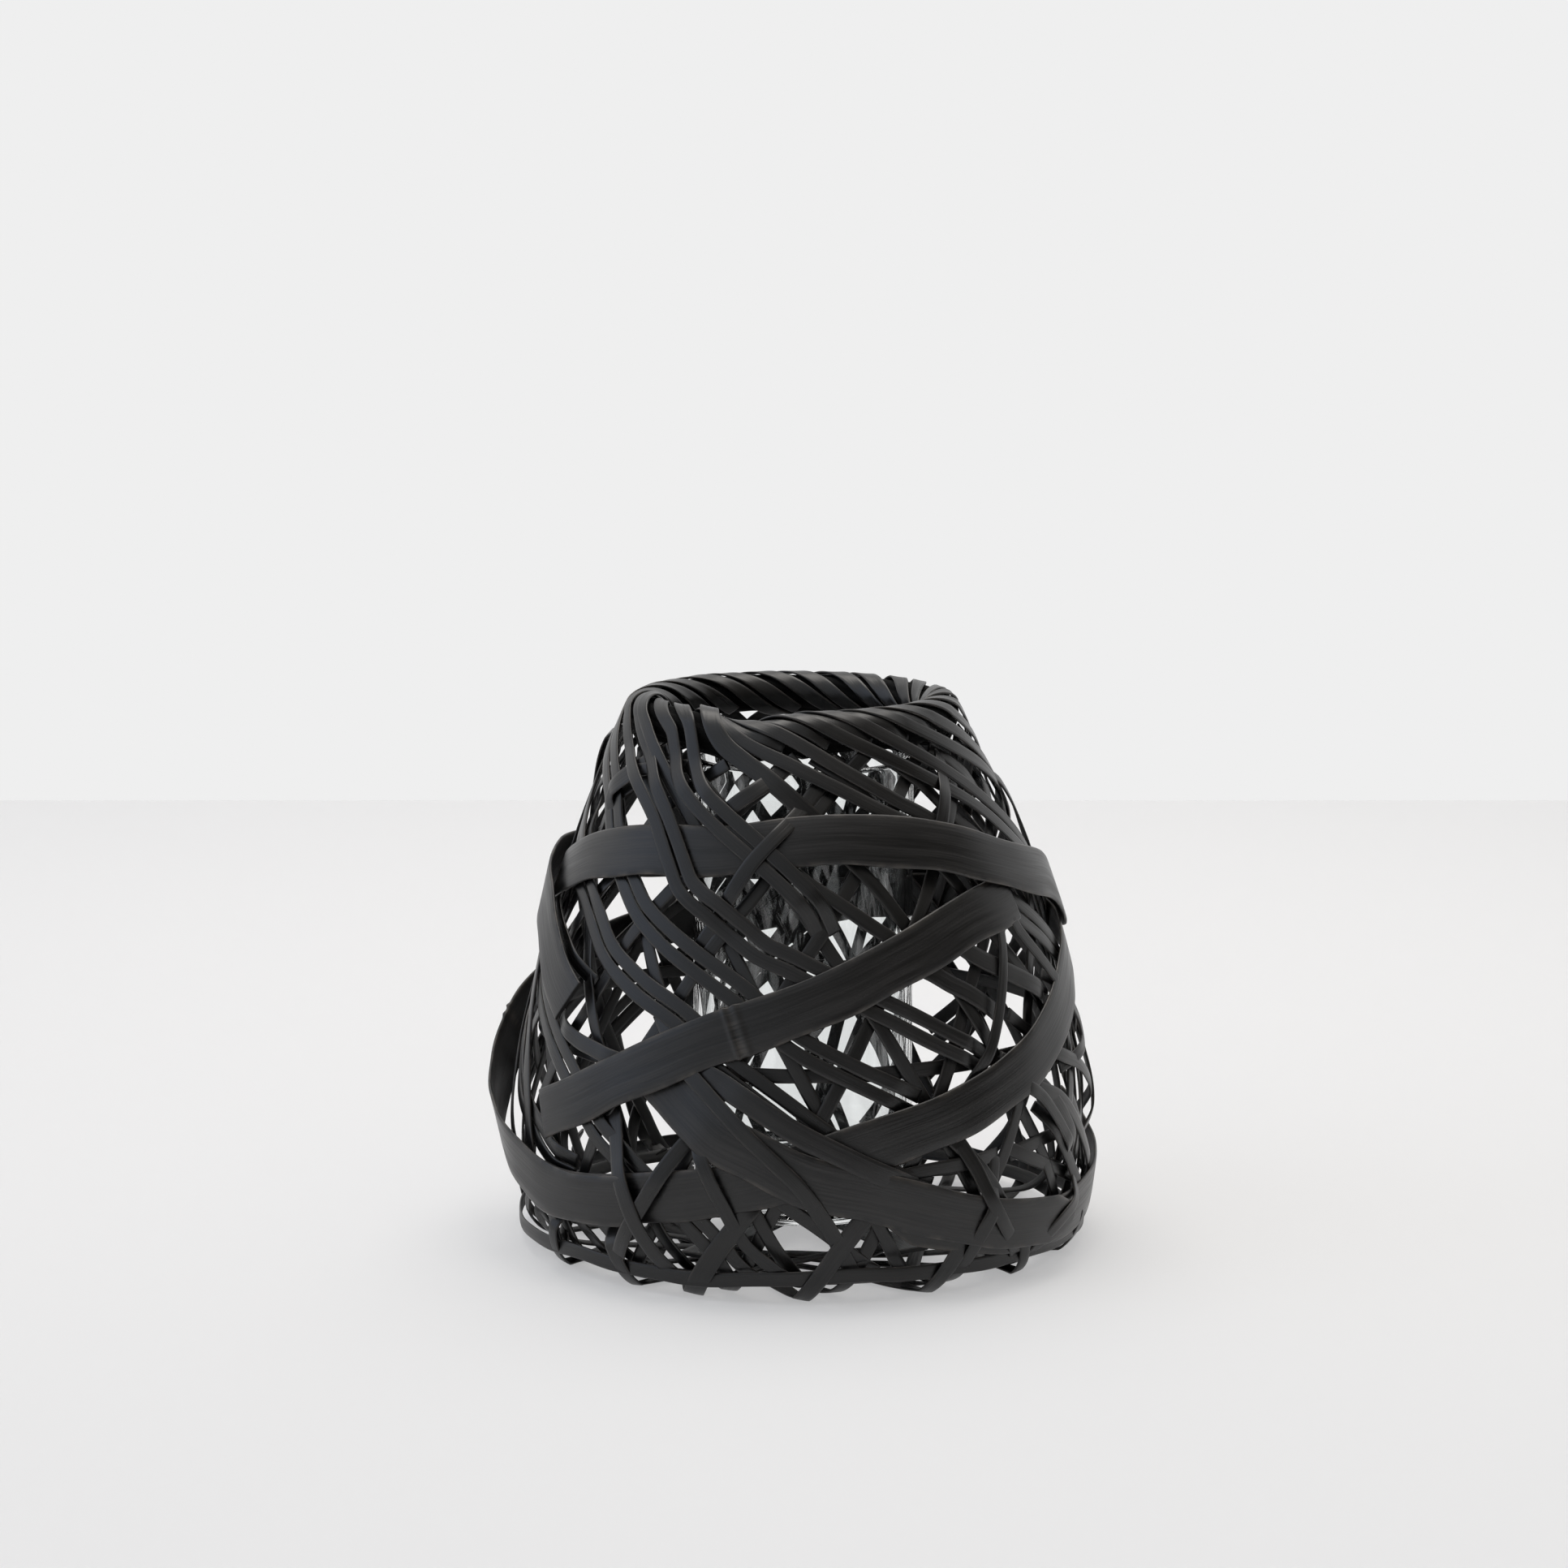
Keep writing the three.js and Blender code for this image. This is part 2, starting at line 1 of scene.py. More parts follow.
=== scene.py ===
import bpy
import numpy as np
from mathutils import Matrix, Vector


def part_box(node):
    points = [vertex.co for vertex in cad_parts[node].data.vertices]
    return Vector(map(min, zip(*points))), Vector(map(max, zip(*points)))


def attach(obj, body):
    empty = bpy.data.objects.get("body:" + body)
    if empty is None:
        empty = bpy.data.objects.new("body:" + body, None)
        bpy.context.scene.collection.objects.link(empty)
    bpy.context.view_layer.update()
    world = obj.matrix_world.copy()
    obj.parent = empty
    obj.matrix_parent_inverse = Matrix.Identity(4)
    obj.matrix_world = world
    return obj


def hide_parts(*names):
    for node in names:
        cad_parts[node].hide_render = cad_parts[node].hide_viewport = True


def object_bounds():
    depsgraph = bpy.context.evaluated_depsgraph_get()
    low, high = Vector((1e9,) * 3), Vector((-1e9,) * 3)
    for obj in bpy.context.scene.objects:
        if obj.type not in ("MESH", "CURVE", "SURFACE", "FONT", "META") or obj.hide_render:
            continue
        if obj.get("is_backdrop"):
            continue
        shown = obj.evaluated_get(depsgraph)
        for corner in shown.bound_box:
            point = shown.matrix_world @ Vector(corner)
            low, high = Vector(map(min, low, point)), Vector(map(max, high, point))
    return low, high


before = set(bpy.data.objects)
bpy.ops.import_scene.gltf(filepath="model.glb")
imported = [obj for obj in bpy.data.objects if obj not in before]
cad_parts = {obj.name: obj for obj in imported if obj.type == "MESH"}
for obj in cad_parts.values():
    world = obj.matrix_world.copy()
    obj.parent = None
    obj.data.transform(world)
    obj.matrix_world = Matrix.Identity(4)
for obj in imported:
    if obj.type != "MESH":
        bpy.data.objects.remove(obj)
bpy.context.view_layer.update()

# The stakes: sixteen split strips of black-dyed bamboo, about 3 mm wide. They cross each other on the floor,
# bend up to be the side, and go over and under those that lean the other way until they end inside the rim.
STRIP_WIDTH = 3.2
STRIP_THICKNESS = 0.6
FLOOR_GAP = 0.43
WEAVE_GAP = 0.6
LAYER_GAP = 0.35

# The body, in millimetres, measured to the middle of the stakes.
FLOOR_RADIUS = 50.0
BELLY_RADIUS = 65.5
BELLY_HEIGHT = 27.0
NECK_RADIUS = 37.0
NECK_HEIGHT = 123.8
CORNER_POWER = 3.5
SHOULDER_POWER = 1.6
LEAN = -2.2
LEAN_START_SHARE = 0.666
LEAN_END_SHARE = 0.955
RIM_DIP = 2.4
RIM_DIP_AT = -19.0
RIM_DIP_SPREAD = 15.0
RIM_DIP_START_SHARE = 0.84
STAKE_COUNT = 16
STAKE_REACH = 30.0
STAKE_TOP = NECK_HEIGHT - 5.6
STAKE_START = 15.0
FOOT_HOOP_TOP = 8.2
CORE_RADIUS = 4.1
ROLL_GAP = 0.5
SLOPE_STEP = 0.1

HALF_PITCH = 180 / STAKE_COUNT
WEAVE_LIFT = (STRIP_THICKNESS + WEAVE_GAP) / 2
HOOP_LIFT = STRIP_THICKNESS + WEAVE_GAP
RETURN_LIFT = WEAVE_LIFT + STRIP_THICKNESS + LAYER_GAP
CROSSING_AT = STAKE_REACH * np.tan(np.radians(HALF_PITCH))
RAMP_LENGTH = CROSSING_AT + STRIP_WIDTH / 2 / np.tan(np.radians(HALF_PITCH))
FLOOR_LIFT = (STRIP_THICKNESS + FLOOR_GAP) * RAMP_LENGTH / (2 * CROSSING_AT)
FLOOR_HEIGHT = FLOOR_LIFT + STRIP_THICKNESS / 2


def body_outline(steps=1500):
    """Radius, height and length along the outline of the body: level on the floor, then a quarter of a
    superellipse, then a side that closes in with a power of the share of its height."""
    turn = np.linspace(0, np.pi / 2, steps)[1:]
    share = np.linspace(0, 1, steps)[1:]
    corner_r = FLOOR_RADIUS + (BELLY_RADIUS - FLOOR_RADIUS) * np.sin(turn) ** (2 / CORNER_POWER)
    drop = np.clip(np.cos(turn), 0, 1) ** (2 / CORNER_POWER)
    corner_z = BELLY_HEIGHT - (BELLY_HEIGHT - FLOOR_HEIGHT) * drop
    side_r = BELLY_RADIUS + (NECK_RADIUS - BELLY_RADIUS) * share**SHOULDER_POWER
    side_z = BELLY_HEIGHT + (NECK_HEIGHT - BELLY_HEIGHT) * share
    radius = np.concatenate([np.linspace(0, FLOOR_RADIUS, steps), corner_r, side_r])
    height = np.concatenate([np.full(steps, FLOOR_HEIGHT), corner_z, side_z])
    length = np.r_[0, np.cumsum(np.hypot(np.diff(radius), np.diff(height)))]
    return radius, height, length


OUTLINE_R, OUTLINE_Z, OUTLINE_L = body_outline()
NECK_LENGTH = OUTLINE_L[-1]
NECK_TURN = np.arctan(SHOULDER_POWER * (BELLY_RADIUS - NECK_RADIUS) / (NECK_HEIGHT - BELLY_HEIGHT))
ROLL_RADIUS = CORE_RADIUS + ROLL_GAP + STRIP_THICKNESS / 2
RIM_RADIUS = NECK_RADIUS + (RETURN_LIFT - ROLL_RADIUS) * np.cos(NECK_TURN)
RIM_HEIGHT = NECK_HEIGHT + (RETURN_LIFT - ROLL_RADIUS) * np.sin(NECK_TURN)
HEIGHT = RIM_HEIGHT + ROLL_RADIUS + STRIP_THICKNESS / 2


def ease(x, low=0.0, high=1.0):
    """A smooth step: 0 below low, 1 above high, and 3u^2 - 2u^3 of the share u between."""
    u = np.clip((x - low) / (high - low), 0, 1)
    return u * u * (3 - 2 * u)


def bell(x, middle, spread):
    """A bell curve: 1 at the middle, and e to the power of minus the square of the share of the spread."""
    return np.exp(-(((x - middle) / spread) ** 2))


def rim_dip(angle):
    """How far the rim sags at this angle, by a bell curve about the place at the front where it is lowest."""
    away = (angle - RIM_DIP_AT + 180) % 360 - 180
    return RIM_DIP * bell(away, 0, RIM_DIP_SPREAD)


def length_at(height):
    """How far along the outline the side reaches this height."""
    side = OUTLINE_L >= FLOOR_RADIUS
    return np.interp(height, OUTLINE_Z[side], OUTLINE_L[side])


def body_points(length, angle, lift):
    """Points this far along the outline, turned by an angle about the middle and standing off by a lift, with
    their outward normals. Past the neck the outline is an arc round the core of the rim, and towards the top
    the body leans to the left by a smooth step of the height, and the rim sags a little at the front."""
    length, angle, lift = np.broadcast_arrays(length, angle, lift)
    near = np.minimum(length, NECK_LENGTH)
    before = np.maximum(near - SLOPE_STEP, 0)
    after = np.minimum(near + SLOPE_STEP, NECK_LENGTH)
    run = np.interp(after, OUTLINE_L, OUTLINE_R) - np.interp(before, OUTLINE_L, OUTLINE_R)
    rise = np.interp(after, OUTLINE_L, OUTLINE_Z) - np.interp(before, OUTLINE_L, OUTLINE_Z)
    rolled = length > NECK_LENGTH
    tilt = np.where(rolled, NECK_TURN + (length - NECK_LENGTH) / ROLL_RADIUS, np.arctan2(-run, rise))
    reach = np.where(rolled, ROLL_RADIUS + lift - RETURN_LIFT, lift)
    r = np.where(rolled, RIM_RADIUS, np.interp(near, OUTLINE_L, OUTLINE_R)) + reach * np.cos(tilt)
    z = np.where(rolled, RIM_HEIGHT, np.interp(near, OUTLINE_L, OUTLINE_Z)) + reach * np.sin(tilt)
    sine = np.sin(np.radians(angle))
    cosine = np.cos(np.radians(angle))
    lean = LEAN * ease(z / HEIGHT, LEAN_START_SHARE, LEAN_END_SHARE)
    z = z - rim_dip(angle) * ease(z / HEIGHT, RIM_DIP_START_SHARE, LEAN_END_SHARE)
    points = np.stack([r * sine + lean, -r * cosine, z], axis=-1)
    normals = np.stack([np.cos(tilt) * sine, -np.cos(tilt) * cosine, np.sin(tilt)], axis=-1)
    return points, normals


brace_low, brace_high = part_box("floor_brace_01")
AXIS = np.array([(brace_low.x + brace_high.x) / 2, (brace_low.y + brace_high.y) / 2, 0.0])

# The section of a split strip, in shares of its half width and thickness: crowned skin side, eased edges.
SECTION_SIDE = np.array([1, 0.93, 0.62, 0.2, -0.2, -0.62, -0.93, -1, -1, -0.93, -0.4, 0.4, 0.93, 1])
SECTION_FACE = np.array([0.35, 0.8, 0.93, 1, 1, 0.93, 0.8, 0.35, -0.45, -0.9, -1, -1, -0.9, -0.45])

# How strips differ: their four waves by length in millimetres, two that sway them and change their width and
# two that twist them. A knot's ridges are each the place, the spread and the share of the rise.
WAVE_LENGTHS = np.array([61.0, 23.0, 47.0, 17.0])
SECOND_WAVE_SHARE = 0.5
WIDTH_WAVE_SHARES = np.array([-0.015, 0.02])
TAPER_TIP_SHARE = 0.25
TAPER_POWER = 0.7
KNOT_RIDGES = ((0.0, 0.55, 1.0), (2.6, 0.75, 0.8))
KNOT_RISE = 0.4
KNOT_WIDENS = 0.25
RUB_AT = 1.3
RUB_SPREAD = 1.1
RUB_SHARE = 0.45
GRAIN_SHIFT = 900.0


def unit(vectors):
    """The vectors, each scaled to a length of 1."""
    return vectors / np.linalg.norm(vectors, axis=1, keepdims=True)


def ring_faces(rings, sides, closed):
    """The faces between the rings of a swept shape: their corners as pairs of ring and place in the ring, and
    the same as numbers of vertices."""
    i = np.arange(rings if closed else rings - 1)[:, None]
    j = np.arange(sides)[None]
    corners = [(i, j), (i + 1, j), (i + 1, j + 1), (i, j + 1)]
    faces = np.stack([(a % rings) * sides + b % sides for a, b in corners], axis=-1).reshape(-1, 4).tolist()
    return corners, faces


def new_object(name, data):
    """Puts an object with this data into the scene."""
    made = bpy.data.objects.new(name, data)
    bpy.context.scene.collection.objects.link(made)
    return made


def smooth_mesh(name, vertices, faces, flat_faces=0):
    """A mesh object in the frame from points in millimetres about the basket's middle. The last flat_faces
    faces are shaded flat and the others smooth."""
    mesh = bpy.data.meshes.new(name)
    mesh.from_pydata((vertices * 0.001 + AXIS).tolist(), [], faces)
    shading = np.ones(len(faces), bool)
    shading[len(faces) - flat_faces:] = False
    mesh.polygons.foreach_set("use_smooth", shading)
    return new_object(name, mesh)


def give(piece, attribute, values):
    """Stores one number for each vertex of a piece, for its material to read."""
    layer = piece.data.attributes.new(attribute, "FLOAT", "POINT")
    layer.data.foreach_set("value", np.ascontiguousarray(values, np.float32).ravel())


def give_grain(piece, corners, along, girth, flat_corners=0):
    """Lays the UV map on the corners of the faces: the millimetres along the grain at their rings, and round
    the section at their places in the ring. The corners of flat faces at the end get none."""
    grain = [np.stack(np.broadcast_arrays(along[a], girth[b]), axis=-1) for a, b in corners]
    grain = np.append(np.stack(grain, axis=-2).ravel(), np.zeros(2 * flat_corners))
    layer = piece.data.uv_layers.new(name="grain")
    layer.data.foreach_set("uv", grain.astype(np.float32))


def strip(name, path, width, thickness, seed, closed=False, sway=0.12, twist=2.5, knots=(), taper=(0, 0)):
    """A split strip along a path of points and normals. Each ring of it is the section above, scaled and
    turned to the path; the ring sways to the side and twists by two sine waves each, as strips laid by hand
    do. At a knot, given as millimetres along, two bell-shaped ridges run across. Over a taper, given as the
    millimetres at its start and its end, it narrows by a power of the way to its tip."""
    points, normals = path
    rng = np.random.default_rng(seed)
    ends = np.roll(points, -1, 0) if closed else points[1:]
    steps = np.linalg.norm(ends - points[:len(ends)], axis=1)
    along = np.r_[0, np.cumsum(steps)]
    total = along[-1]
    around = np.roll(points, -1, 0) - np.roll(points, 1, 0)
    forward = unit(around if closed else np.gradient(points, axis=0))
    across = unit(np.cross(forward, normals))
    out = np.cross(across, forward)

    rings = len(points)
    place = along[:rings]
    periods = np.maximum(np.round(total / WAVE_LENGTHS), 1)
    phases = rng.uniform(0, 2 * np.pi, 4)
    waves = np.sin(2 * np.pi * periods * place[:, None] / total + phases)
    side = sway * (waves[:, 0] + SECOND_WAVE_SHARE * waves[:, 1])
    turn = np.radians(twist) * (waves[:, 2] + SECOND_WAVE_SHARE * waves[:, 3])
    half = width / 2 * (1 + waves[:, :2] @ WIDTH_WAVE_SHARES)
    for run, from_tip in zip(taper, (place, total - place)):
        if run:
            share = np.clip(from_tip / run, 0, 1) ** TAPER_POWER
            half = half * (TAPER_TIP_SHARE + (1 - TAPER_TIP_SHARE) * share)
    swell = np.zeros(rings)
    rub = np.zeros(rings)
    for knot in knots:
        for away, spread, share in KNOT_RIDGES:
            swell += share * bell(place, knot + away, spread)
        rub += RUB_SHARE * bell(place, knot + RUB_AT, RUB_SPREAD)
    points = points + across * side[:, None]
    cosine = np.cos(turn)[:, None]
    sine = np.sin(turn)[:, None]
    across, out = across * cosine + out * sine, out * cosine - across * sine
    reach = SECTION_SIDE * (half + KNOT_WIDENS * swell)[:, None]
    depth = SECTION_FACE * thickness / 2 + KNOT_RISE * swell[:, None] * (SECTION_FACE > 0)
    vertices = points[:, None] + across[:, None] * reach[..., None] + out[:, None] * depth[..., None]

    count = len(SECTION_SIDE)
    corners, faces = ring_faces(rings, count, closed)
    caps = [] if closed else [list(range(count)), [(rings - 1) * count + k for k in reversed(range(count))]]
    piece = smooth_mesh(name, vertices.reshape(-1, 3), faces + caps, flat_faces=len(caps))

    girth_x = np.append(SECTION_SIDE, SECTION_SIDE[0]) * width / 2
    girth_y = np.append(SECTION_FACE, SECTION_FACE[0]) * thickness / 2
    girth = np.r_[0, np.cumsum(np.hypot(np.diff(girth_x), np.diff(girth_y)))]
    give_grain(piece, corners, along + rng.uniform(0, GRAIN_SHIFT), girth, flat_corners=count * len(caps))
    give(piece, "edge", np.tile(np.abs(SECTION_SIDE), rings))
    give(piece, "skin", np.tile((SECTION_FACE > 0).astype(float), rings))
    give(piece, "rub", np.repeat(rub, count))
    give(piece, "tone", np.full(rings * count, rng.uniform()))
    return piece


def linear(colour):
    """The linear colour of an sRGB hex value."""
    value = np.array([int(colour[k:k + 2], 16) for k in (1, 3, 5)]) / 255
    value = np.where(value <= 0.04045, value / 12.92, ((value + 0.055) / 1.055) ** 2.4)
    return (*value.tolist(), 1.0)


def add(tree, kind, inputs=None, **settings):
    """Adds one node: settings are its properties, and inputs give each socket a value or a link."""
    made = tree.nodes.new(kind)
    for key, value in settings.items():
        setattr(made, key, value)
    for key, value in (inputs or {}).items():
        if isinstance(value, bpy.types.NodeSocket):
            tree.links.new(value, made.inputs[key])
        else:
            made.inputs[key].default_value = value
    return made


# The looks of dyed bamboo: in millimetres the lengths of fibres and of bundles of them and the sizes of the
# blotches of dye and of the rubbed patches, a bundle's width in fibres, and what makes it duller.
FIBRE_LENGTH = 16.0
BUNDLE_LENGTH = 55.0
BUNDLE_FIBRES = 4.5
DYE_BLOTCH = 26.316
RUBBED_PATCH = 4.762
INNER_SIDE_DULL = 0.16
STREAK_DULL = 0.14
BATCH_DULL = 0.1
BAMBOO_IOR = 1.5


def dyed_bamboo(name, deep, pale, rubbed, roughness, fibre_mm, wear, relief_mm):
    """Split bamboo, dyed black and waxed: fine straight fibres along the strip, broader bundles of them, dye
    that took unevenly and differs from strip to strip, and edges rubbed a little paler. The inner side is
    duller than the skin side."""
    material = bpy.data.materials.new(name)
    material.use_nodes = True
    tree = material.node_tree
    shader = tree.nodes["Principled BSDF"]
    grain = add(tree, "ShaderNodeUVMap", uv_map="grain").outputs["UV"]
    place = add(tree, "ShaderNodeTexCoord").outputs["Object"]
    edge, skin, rub, tone = [add(tree, "ShaderNodeAttribute", attribute_name=kind).outputs["Fac"]
                             for kind in ("edge", "skin", "rub", "tone")]

    fine_scale = (1 / FIBRE_LENGTH, 1 / fibre_mm, 1)
    fine_at = add(tree, "ShaderNodeVectorMath", {0: grain, 1: fine_scale}, operation="MULTIPLY").outputs[0]
    fine = add(tree, "ShaderNodeTexNoise", {"Vector": fine_at, "Scale": 1.0, "Detail": 3.0}).outputs["Fac"]
    bundle_scale = (1 / BUNDLE_LENGTH, 1 / (fibre_mm * BUNDLE_FIBRES), 1)
    bundle_at = add(tree, "ShaderNodeVectorMath", {0: grain, 1: bundle_scale}, operation="MULTIPLY")
    bundle = {"Vector": bundle_at.outputs[0], "Scale": 1.0, "Detail": 2.0}
    bundle = add(tree, "ShaderNodeTexNoise", bundle).outputs["Fac"]
    dye = add(tree, "ShaderNodeTexNoise", {"Vector": place, "Scale": 1000 / DYE_BLOTCH, "Detail": 2.0})
    patch = add(tree, "ShaderNodeTexNoise", {"Vector": place, "Scale": 1000 / RUBBED_PATCH, "Detail": 3.0})

    both = add(tree, "ShaderNodeMix", {"Factor": 0.5, "A": fine, "B": bundle}).outputs["Result"]
    streak = add(tree, "ShaderNodeMapRange", {"Value": both, "From Min": 0.4, "From Max": 0.62}).outputs[0]
    base = {"Factor": streak, "A": linear(deep), "B": linear(pale)}
    base = add(tree, "ShaderNodeMix", base, data_type="RGBA").outputs["Result"]
    uneven = {"Value": dye.outputs["Fac"], "From Min": 0.35, "From Max": 0.7, "To Min": 0.75, "To Max": 1.3}
    uneven = add(tree, "ShaderNodeMapRange", uneven).outputs[0]
    batch = add(tree, "ShaderNodeMapRange", {"Value": tone, "To Min": 0.55, "To Max": 1.7}).outputs[0]
    uneven = add(tree, "ShaderNodeMath", {0: uneven, 1: batch}, operation="MULTIPLY").outputs[0]
    tinted = add(tree, "ShaderNodeVectorMath", {0: base, "Scale": uneven}, operation="SCALE").outputs[0]
    worn_edge = add(tree, "ShaderNodeMapRange", {"Value": edge, "From Min": 0.8, "From Max": 1.0}).outputs[0]
    worn_patch = {"Value": patch.outputs["Fac"], "From Min": 0.42, "From Max": 0.66}
    worn_patch = add(tree, "ShaderNodeMapRange", worn_patch).outputs[0]
    worn = add(tree, "ShaderNodeMath", {0: worn_edge, 1: worn_patch}, operation="MULTIPLY").outputs[0]
    worn = add(tree, "ShaderNodeMath", {0: worn, 1: wear}, operation="MULTIPLY").outputs[0]
    rubbed_at = add(tree, "ShaderNodeMath", {0: rub, 1: streak}, operation="MULTIPLY").outputs[0]
    worn = add(tree, "ShaderNodeMath", {0: worn, 1: rubbed_at}, operation="ADD", use_clamp=True).outputs[0]
    colour = {"Factor": worn, "A": tinted, "B": linear(rubbed)}
    colour = add(tree, "ShaderNodeMix", colour, data_type="RGBA").outputs["Result"]

    dull = {"Value": skin, "To Min": INNER_SIDE_DULL, "To Max": 0.0}
    dull = add(tree, "ShaderNodeMapRange", dull).outputs[0]
    rough = {0: streak, 1: STREAK_DULL, 2: roughness}
    rough = add(tree, "ShaderNodeMath", rough, operation="MULTIPLY_ADD").outputs[0]
    rough = add(tree, "ShaderNodeMath", {0: rough, 1: dull}, operation="ADD").outputs[0]
    rough = {0: tone, 1: BATCH_DULL, 2: rough}
    rough = add(tree, "ShaderNodeMath", rough, operation="MULTIPLY_ADD").outputs[0]
    bump = add(tree, "ShaderNodeBump", {"Height": both, "Strength": 1.0, "Distance": relief_mm * 0.001})
    tree.links.new(colour, shader.inputs["Base Color"])
    tree.links.new(rough, shader.inputs["Roughness"])
    tree.links.new(bump.outputs["Normal"], shader.inputs["Normal"])
    shader.inputs["IOR"].default_value = BAMBOO_IOR
    return material


narrow_bamboo = dyed_bamboo("black-dyed split bamboo", "#020203", "#131212", "#47413c",
                            roughness=0.26, fibre_mm=0.36, wear=0.5, relief_mm=0.08)


def dress(piece, node, material):
    """Gives a basket piece its material and its body, and hides the CAD node that it stands for, if any."""
    piece.data.materials.append(material)
    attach(piece, "basket")
    if node:
        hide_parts(node)


def lay(name, path, width, seed, node=None, thickness=STRIP_THICKNESS, **more):
    """Lays one strip of the black split bamboo, and dresses it."""
    dress(strip(name, path, width, thickness, seed, **more), node, narrow_bamboo)


# A stake climbs as a flat strip does, by the shortest way: its radius times the sine of its lean stays the
# same. Places along it are counted in crossings with the other stakes.
CLIMB_STEPS = 600
TURN_UP_FROM = 4.3
TURN_UP_TO = 4.7
FIRST_WEAVE = 6
FIRST_LEAD = 0.13
WEAVE_LEAD = 0.25
STAKE_RINGS = 420
climb_lengths = np.linspace(STAKE_REACH, length_at(STAKE_TOP), CLIMB_STEPS + 1)
climb_radii = np.maximum(np.interp(climb_lengths, OUTLINE_L, OUTLINE_R), STAKE_REACH + 1e-9)
floor_count = np.degrees(np.arccos(STAKE_REACH / climb_radii)) / HALF_PITCH
winding = STAKE_REACH / (climb_radii * np.sqrt(climb_radii**2 - STAKE_REACH**2))
side_steps = np.degrees(winding[1:]) * np.diff(climb_lengths) / HALF_PITCH
side_steps = np.where(climb_lengths[1:] <= FLOOR_RADIUS, np.diff(floor_count), side_steps)
crossings = np.r_[0, np.cumsum(side_steps)]
LAST_CROSSING = crossings[-1]
FLOOR_CROSSING = np.interp(FLOOR_RADIUS, climb_lengths, crossings)
HOOP_CROSSING = np.interp(length_at(FOOT_HOOP_TOP), climb_lengths, crossings)
RAMP_CROSSING = np.degrees(np.arctan(RAMP_LENGTH / STAKE_REACH)) / HALF_PITCH

lift_at = [0, RAMP_CROSSING, TURN_UP_FROM, TURN_UP_TO, HOOP_CROSSING]
lifts = [0, FLOOR_LIFT, FLOOR_LIFT, HOOP_LIFT, HOOP_LIFT]
for count in range(FIRST_WEAVE, int(LAST_CROSSING + WEAVE_LEAD) + 1):
    lead = FIRST_LEAD if count == FIRST_WEAVE else WEAVE_LEAD
    lift_at += [count - lead, min(count + WEAVE_LEAD, LAST_CROSSING)]
    lifts += [WEAVE_LIFT if count % 2 else -WEAVE_LIFT] * 2


def stake_path(middle):
    """A chord across the floor and a climb up the side at both ends. The lift goes by the crossings passed,
    with the corners of its ramps rounded off by a running mean."""
    passed = np.linspace(-LAST_CROSSING, LAST_CROSSING, STAKE_RINGS)
    count = np.abs(passed)
    chord = STAKE_REACH / np.cos(np.radians(np.minimum(count, FLOOR_CROSSING) * HALF_PITCH))
    climb = np.interp(count, crossings, climb_lengths)
    length = np.where(count < FLOOR_CROSSING, chord, climb)
    lift = np.sign(passed) * np.interp(count, lift_at, lifts)
    kernel = np.array([1, 2, 3, 2, 1]) / 9
    lift = np.convolve(np.pad(lift, 2, mode="edge"), kernel, mode="valid")
    return body_points(length, middle + passed * HALF_PITCH, lift)


for number in range(STAKE_COUNT):
    node = f"stake_{number + 1:02d}"
    middle = STAKE_START + number * 2 * HALF_PITCH
    lay(f"{node}_strip", stake_path(middle), STRIP_WIDTH, seed=number, node=node)

# The hoops: a ring of the same strip at the foot, between the two halves of every stake, and one inside the
# stakes at the waist. Each is one strip bent round into a ring.
FOOT_HOOP_HEIGHT = 4.6
WAIST_HOOP_SHARE = 0.4
hoop_angles = np.arange(0.0, 360.0)
foot_path = body_points(length_at(FOOT_HOOP_HEIGHT), hoop_angles, 0.0)
waist_path = body_points(length_at(WAIST_HOOP_SHARE * HEIGHT), hoop_angles, -RETURN_LIFT)
lay("foot_hoop_strip", foot_path, STRIP_WIDTH, seed=31, node="foot_hoop", closed=True, twist=1.0)
lay("waist_hoop_strip", waist_path, STRIP_WIDTH, seed=32, node="waist_hoop", closed=True)

# The core of the rim: a bundle of thin canes twisted together, left darker and duller, with the returns
# wrapped over it.
CANES = 7
CANE_TWISTS = 9
CANE_GROOVE_SHARE = 0.93
CANE_SWELL_SHARE = 0.14
CANE_POWER = 0.6
CORE_SHINE = 0.12


def cane_bundle(rings=320, sides=56):
    """A ring whose section is a bundle of canes: the radius of the section dips between the canes, by a power
    of the sine of the way round it, and the dips wind round the ring."""
    turn = np.linspace(0, 2 * np.pi, rings, endpoint=False)[:, None]
    way = np.linspace(0, 2 * np.pi, sides, endpoint=False)[None]
    dip = np.abs(np.sin((CANES * way + CANE_TWISTS * turn) / 2))
    radius = CORE_RADIUS * (CANE_GROOVE_SHARE + CANE_SWELL_SHARE * dip**CANE_POWER)
    r = RIM_RADIUS + radius * np.cos(way)
    z = RIM_HEIGHT + radius * np.sin(way) - rim_dip(np.degrees(turn))
    vertices = np.stack([r * np.sin(turn) + LEAN, -r * np.cos(turn), z], axis=-1).reshape(-1, 3)
    corners, faces = ring_faces(rings, sides, closed=True)
    piece = smooth_mesh("rim_core_canes", vertices, faces)
    along = np.append(turn * RIM_RADIUS, 0)
    give_grain(piece, corners, along, np.arange(sides + 1) * (2 * np.pi * CORE_RADIUS / sides))
    return piece


core_bamboo = dyed_bamboo("black-dyed cane, unwaxed", "#030303", "#080808", "#1c1a19",
                          roughness=0.6, fibre_mm=0.3, wear=0.2, relief_mm=0.08)
core_bamboo.node_tree.nodes["Principled BSDF"].inputs["Specular IOR Level"].default_value = CORE_SHINE
dress(cane_bundle(), "rim_core", core_bamboo)

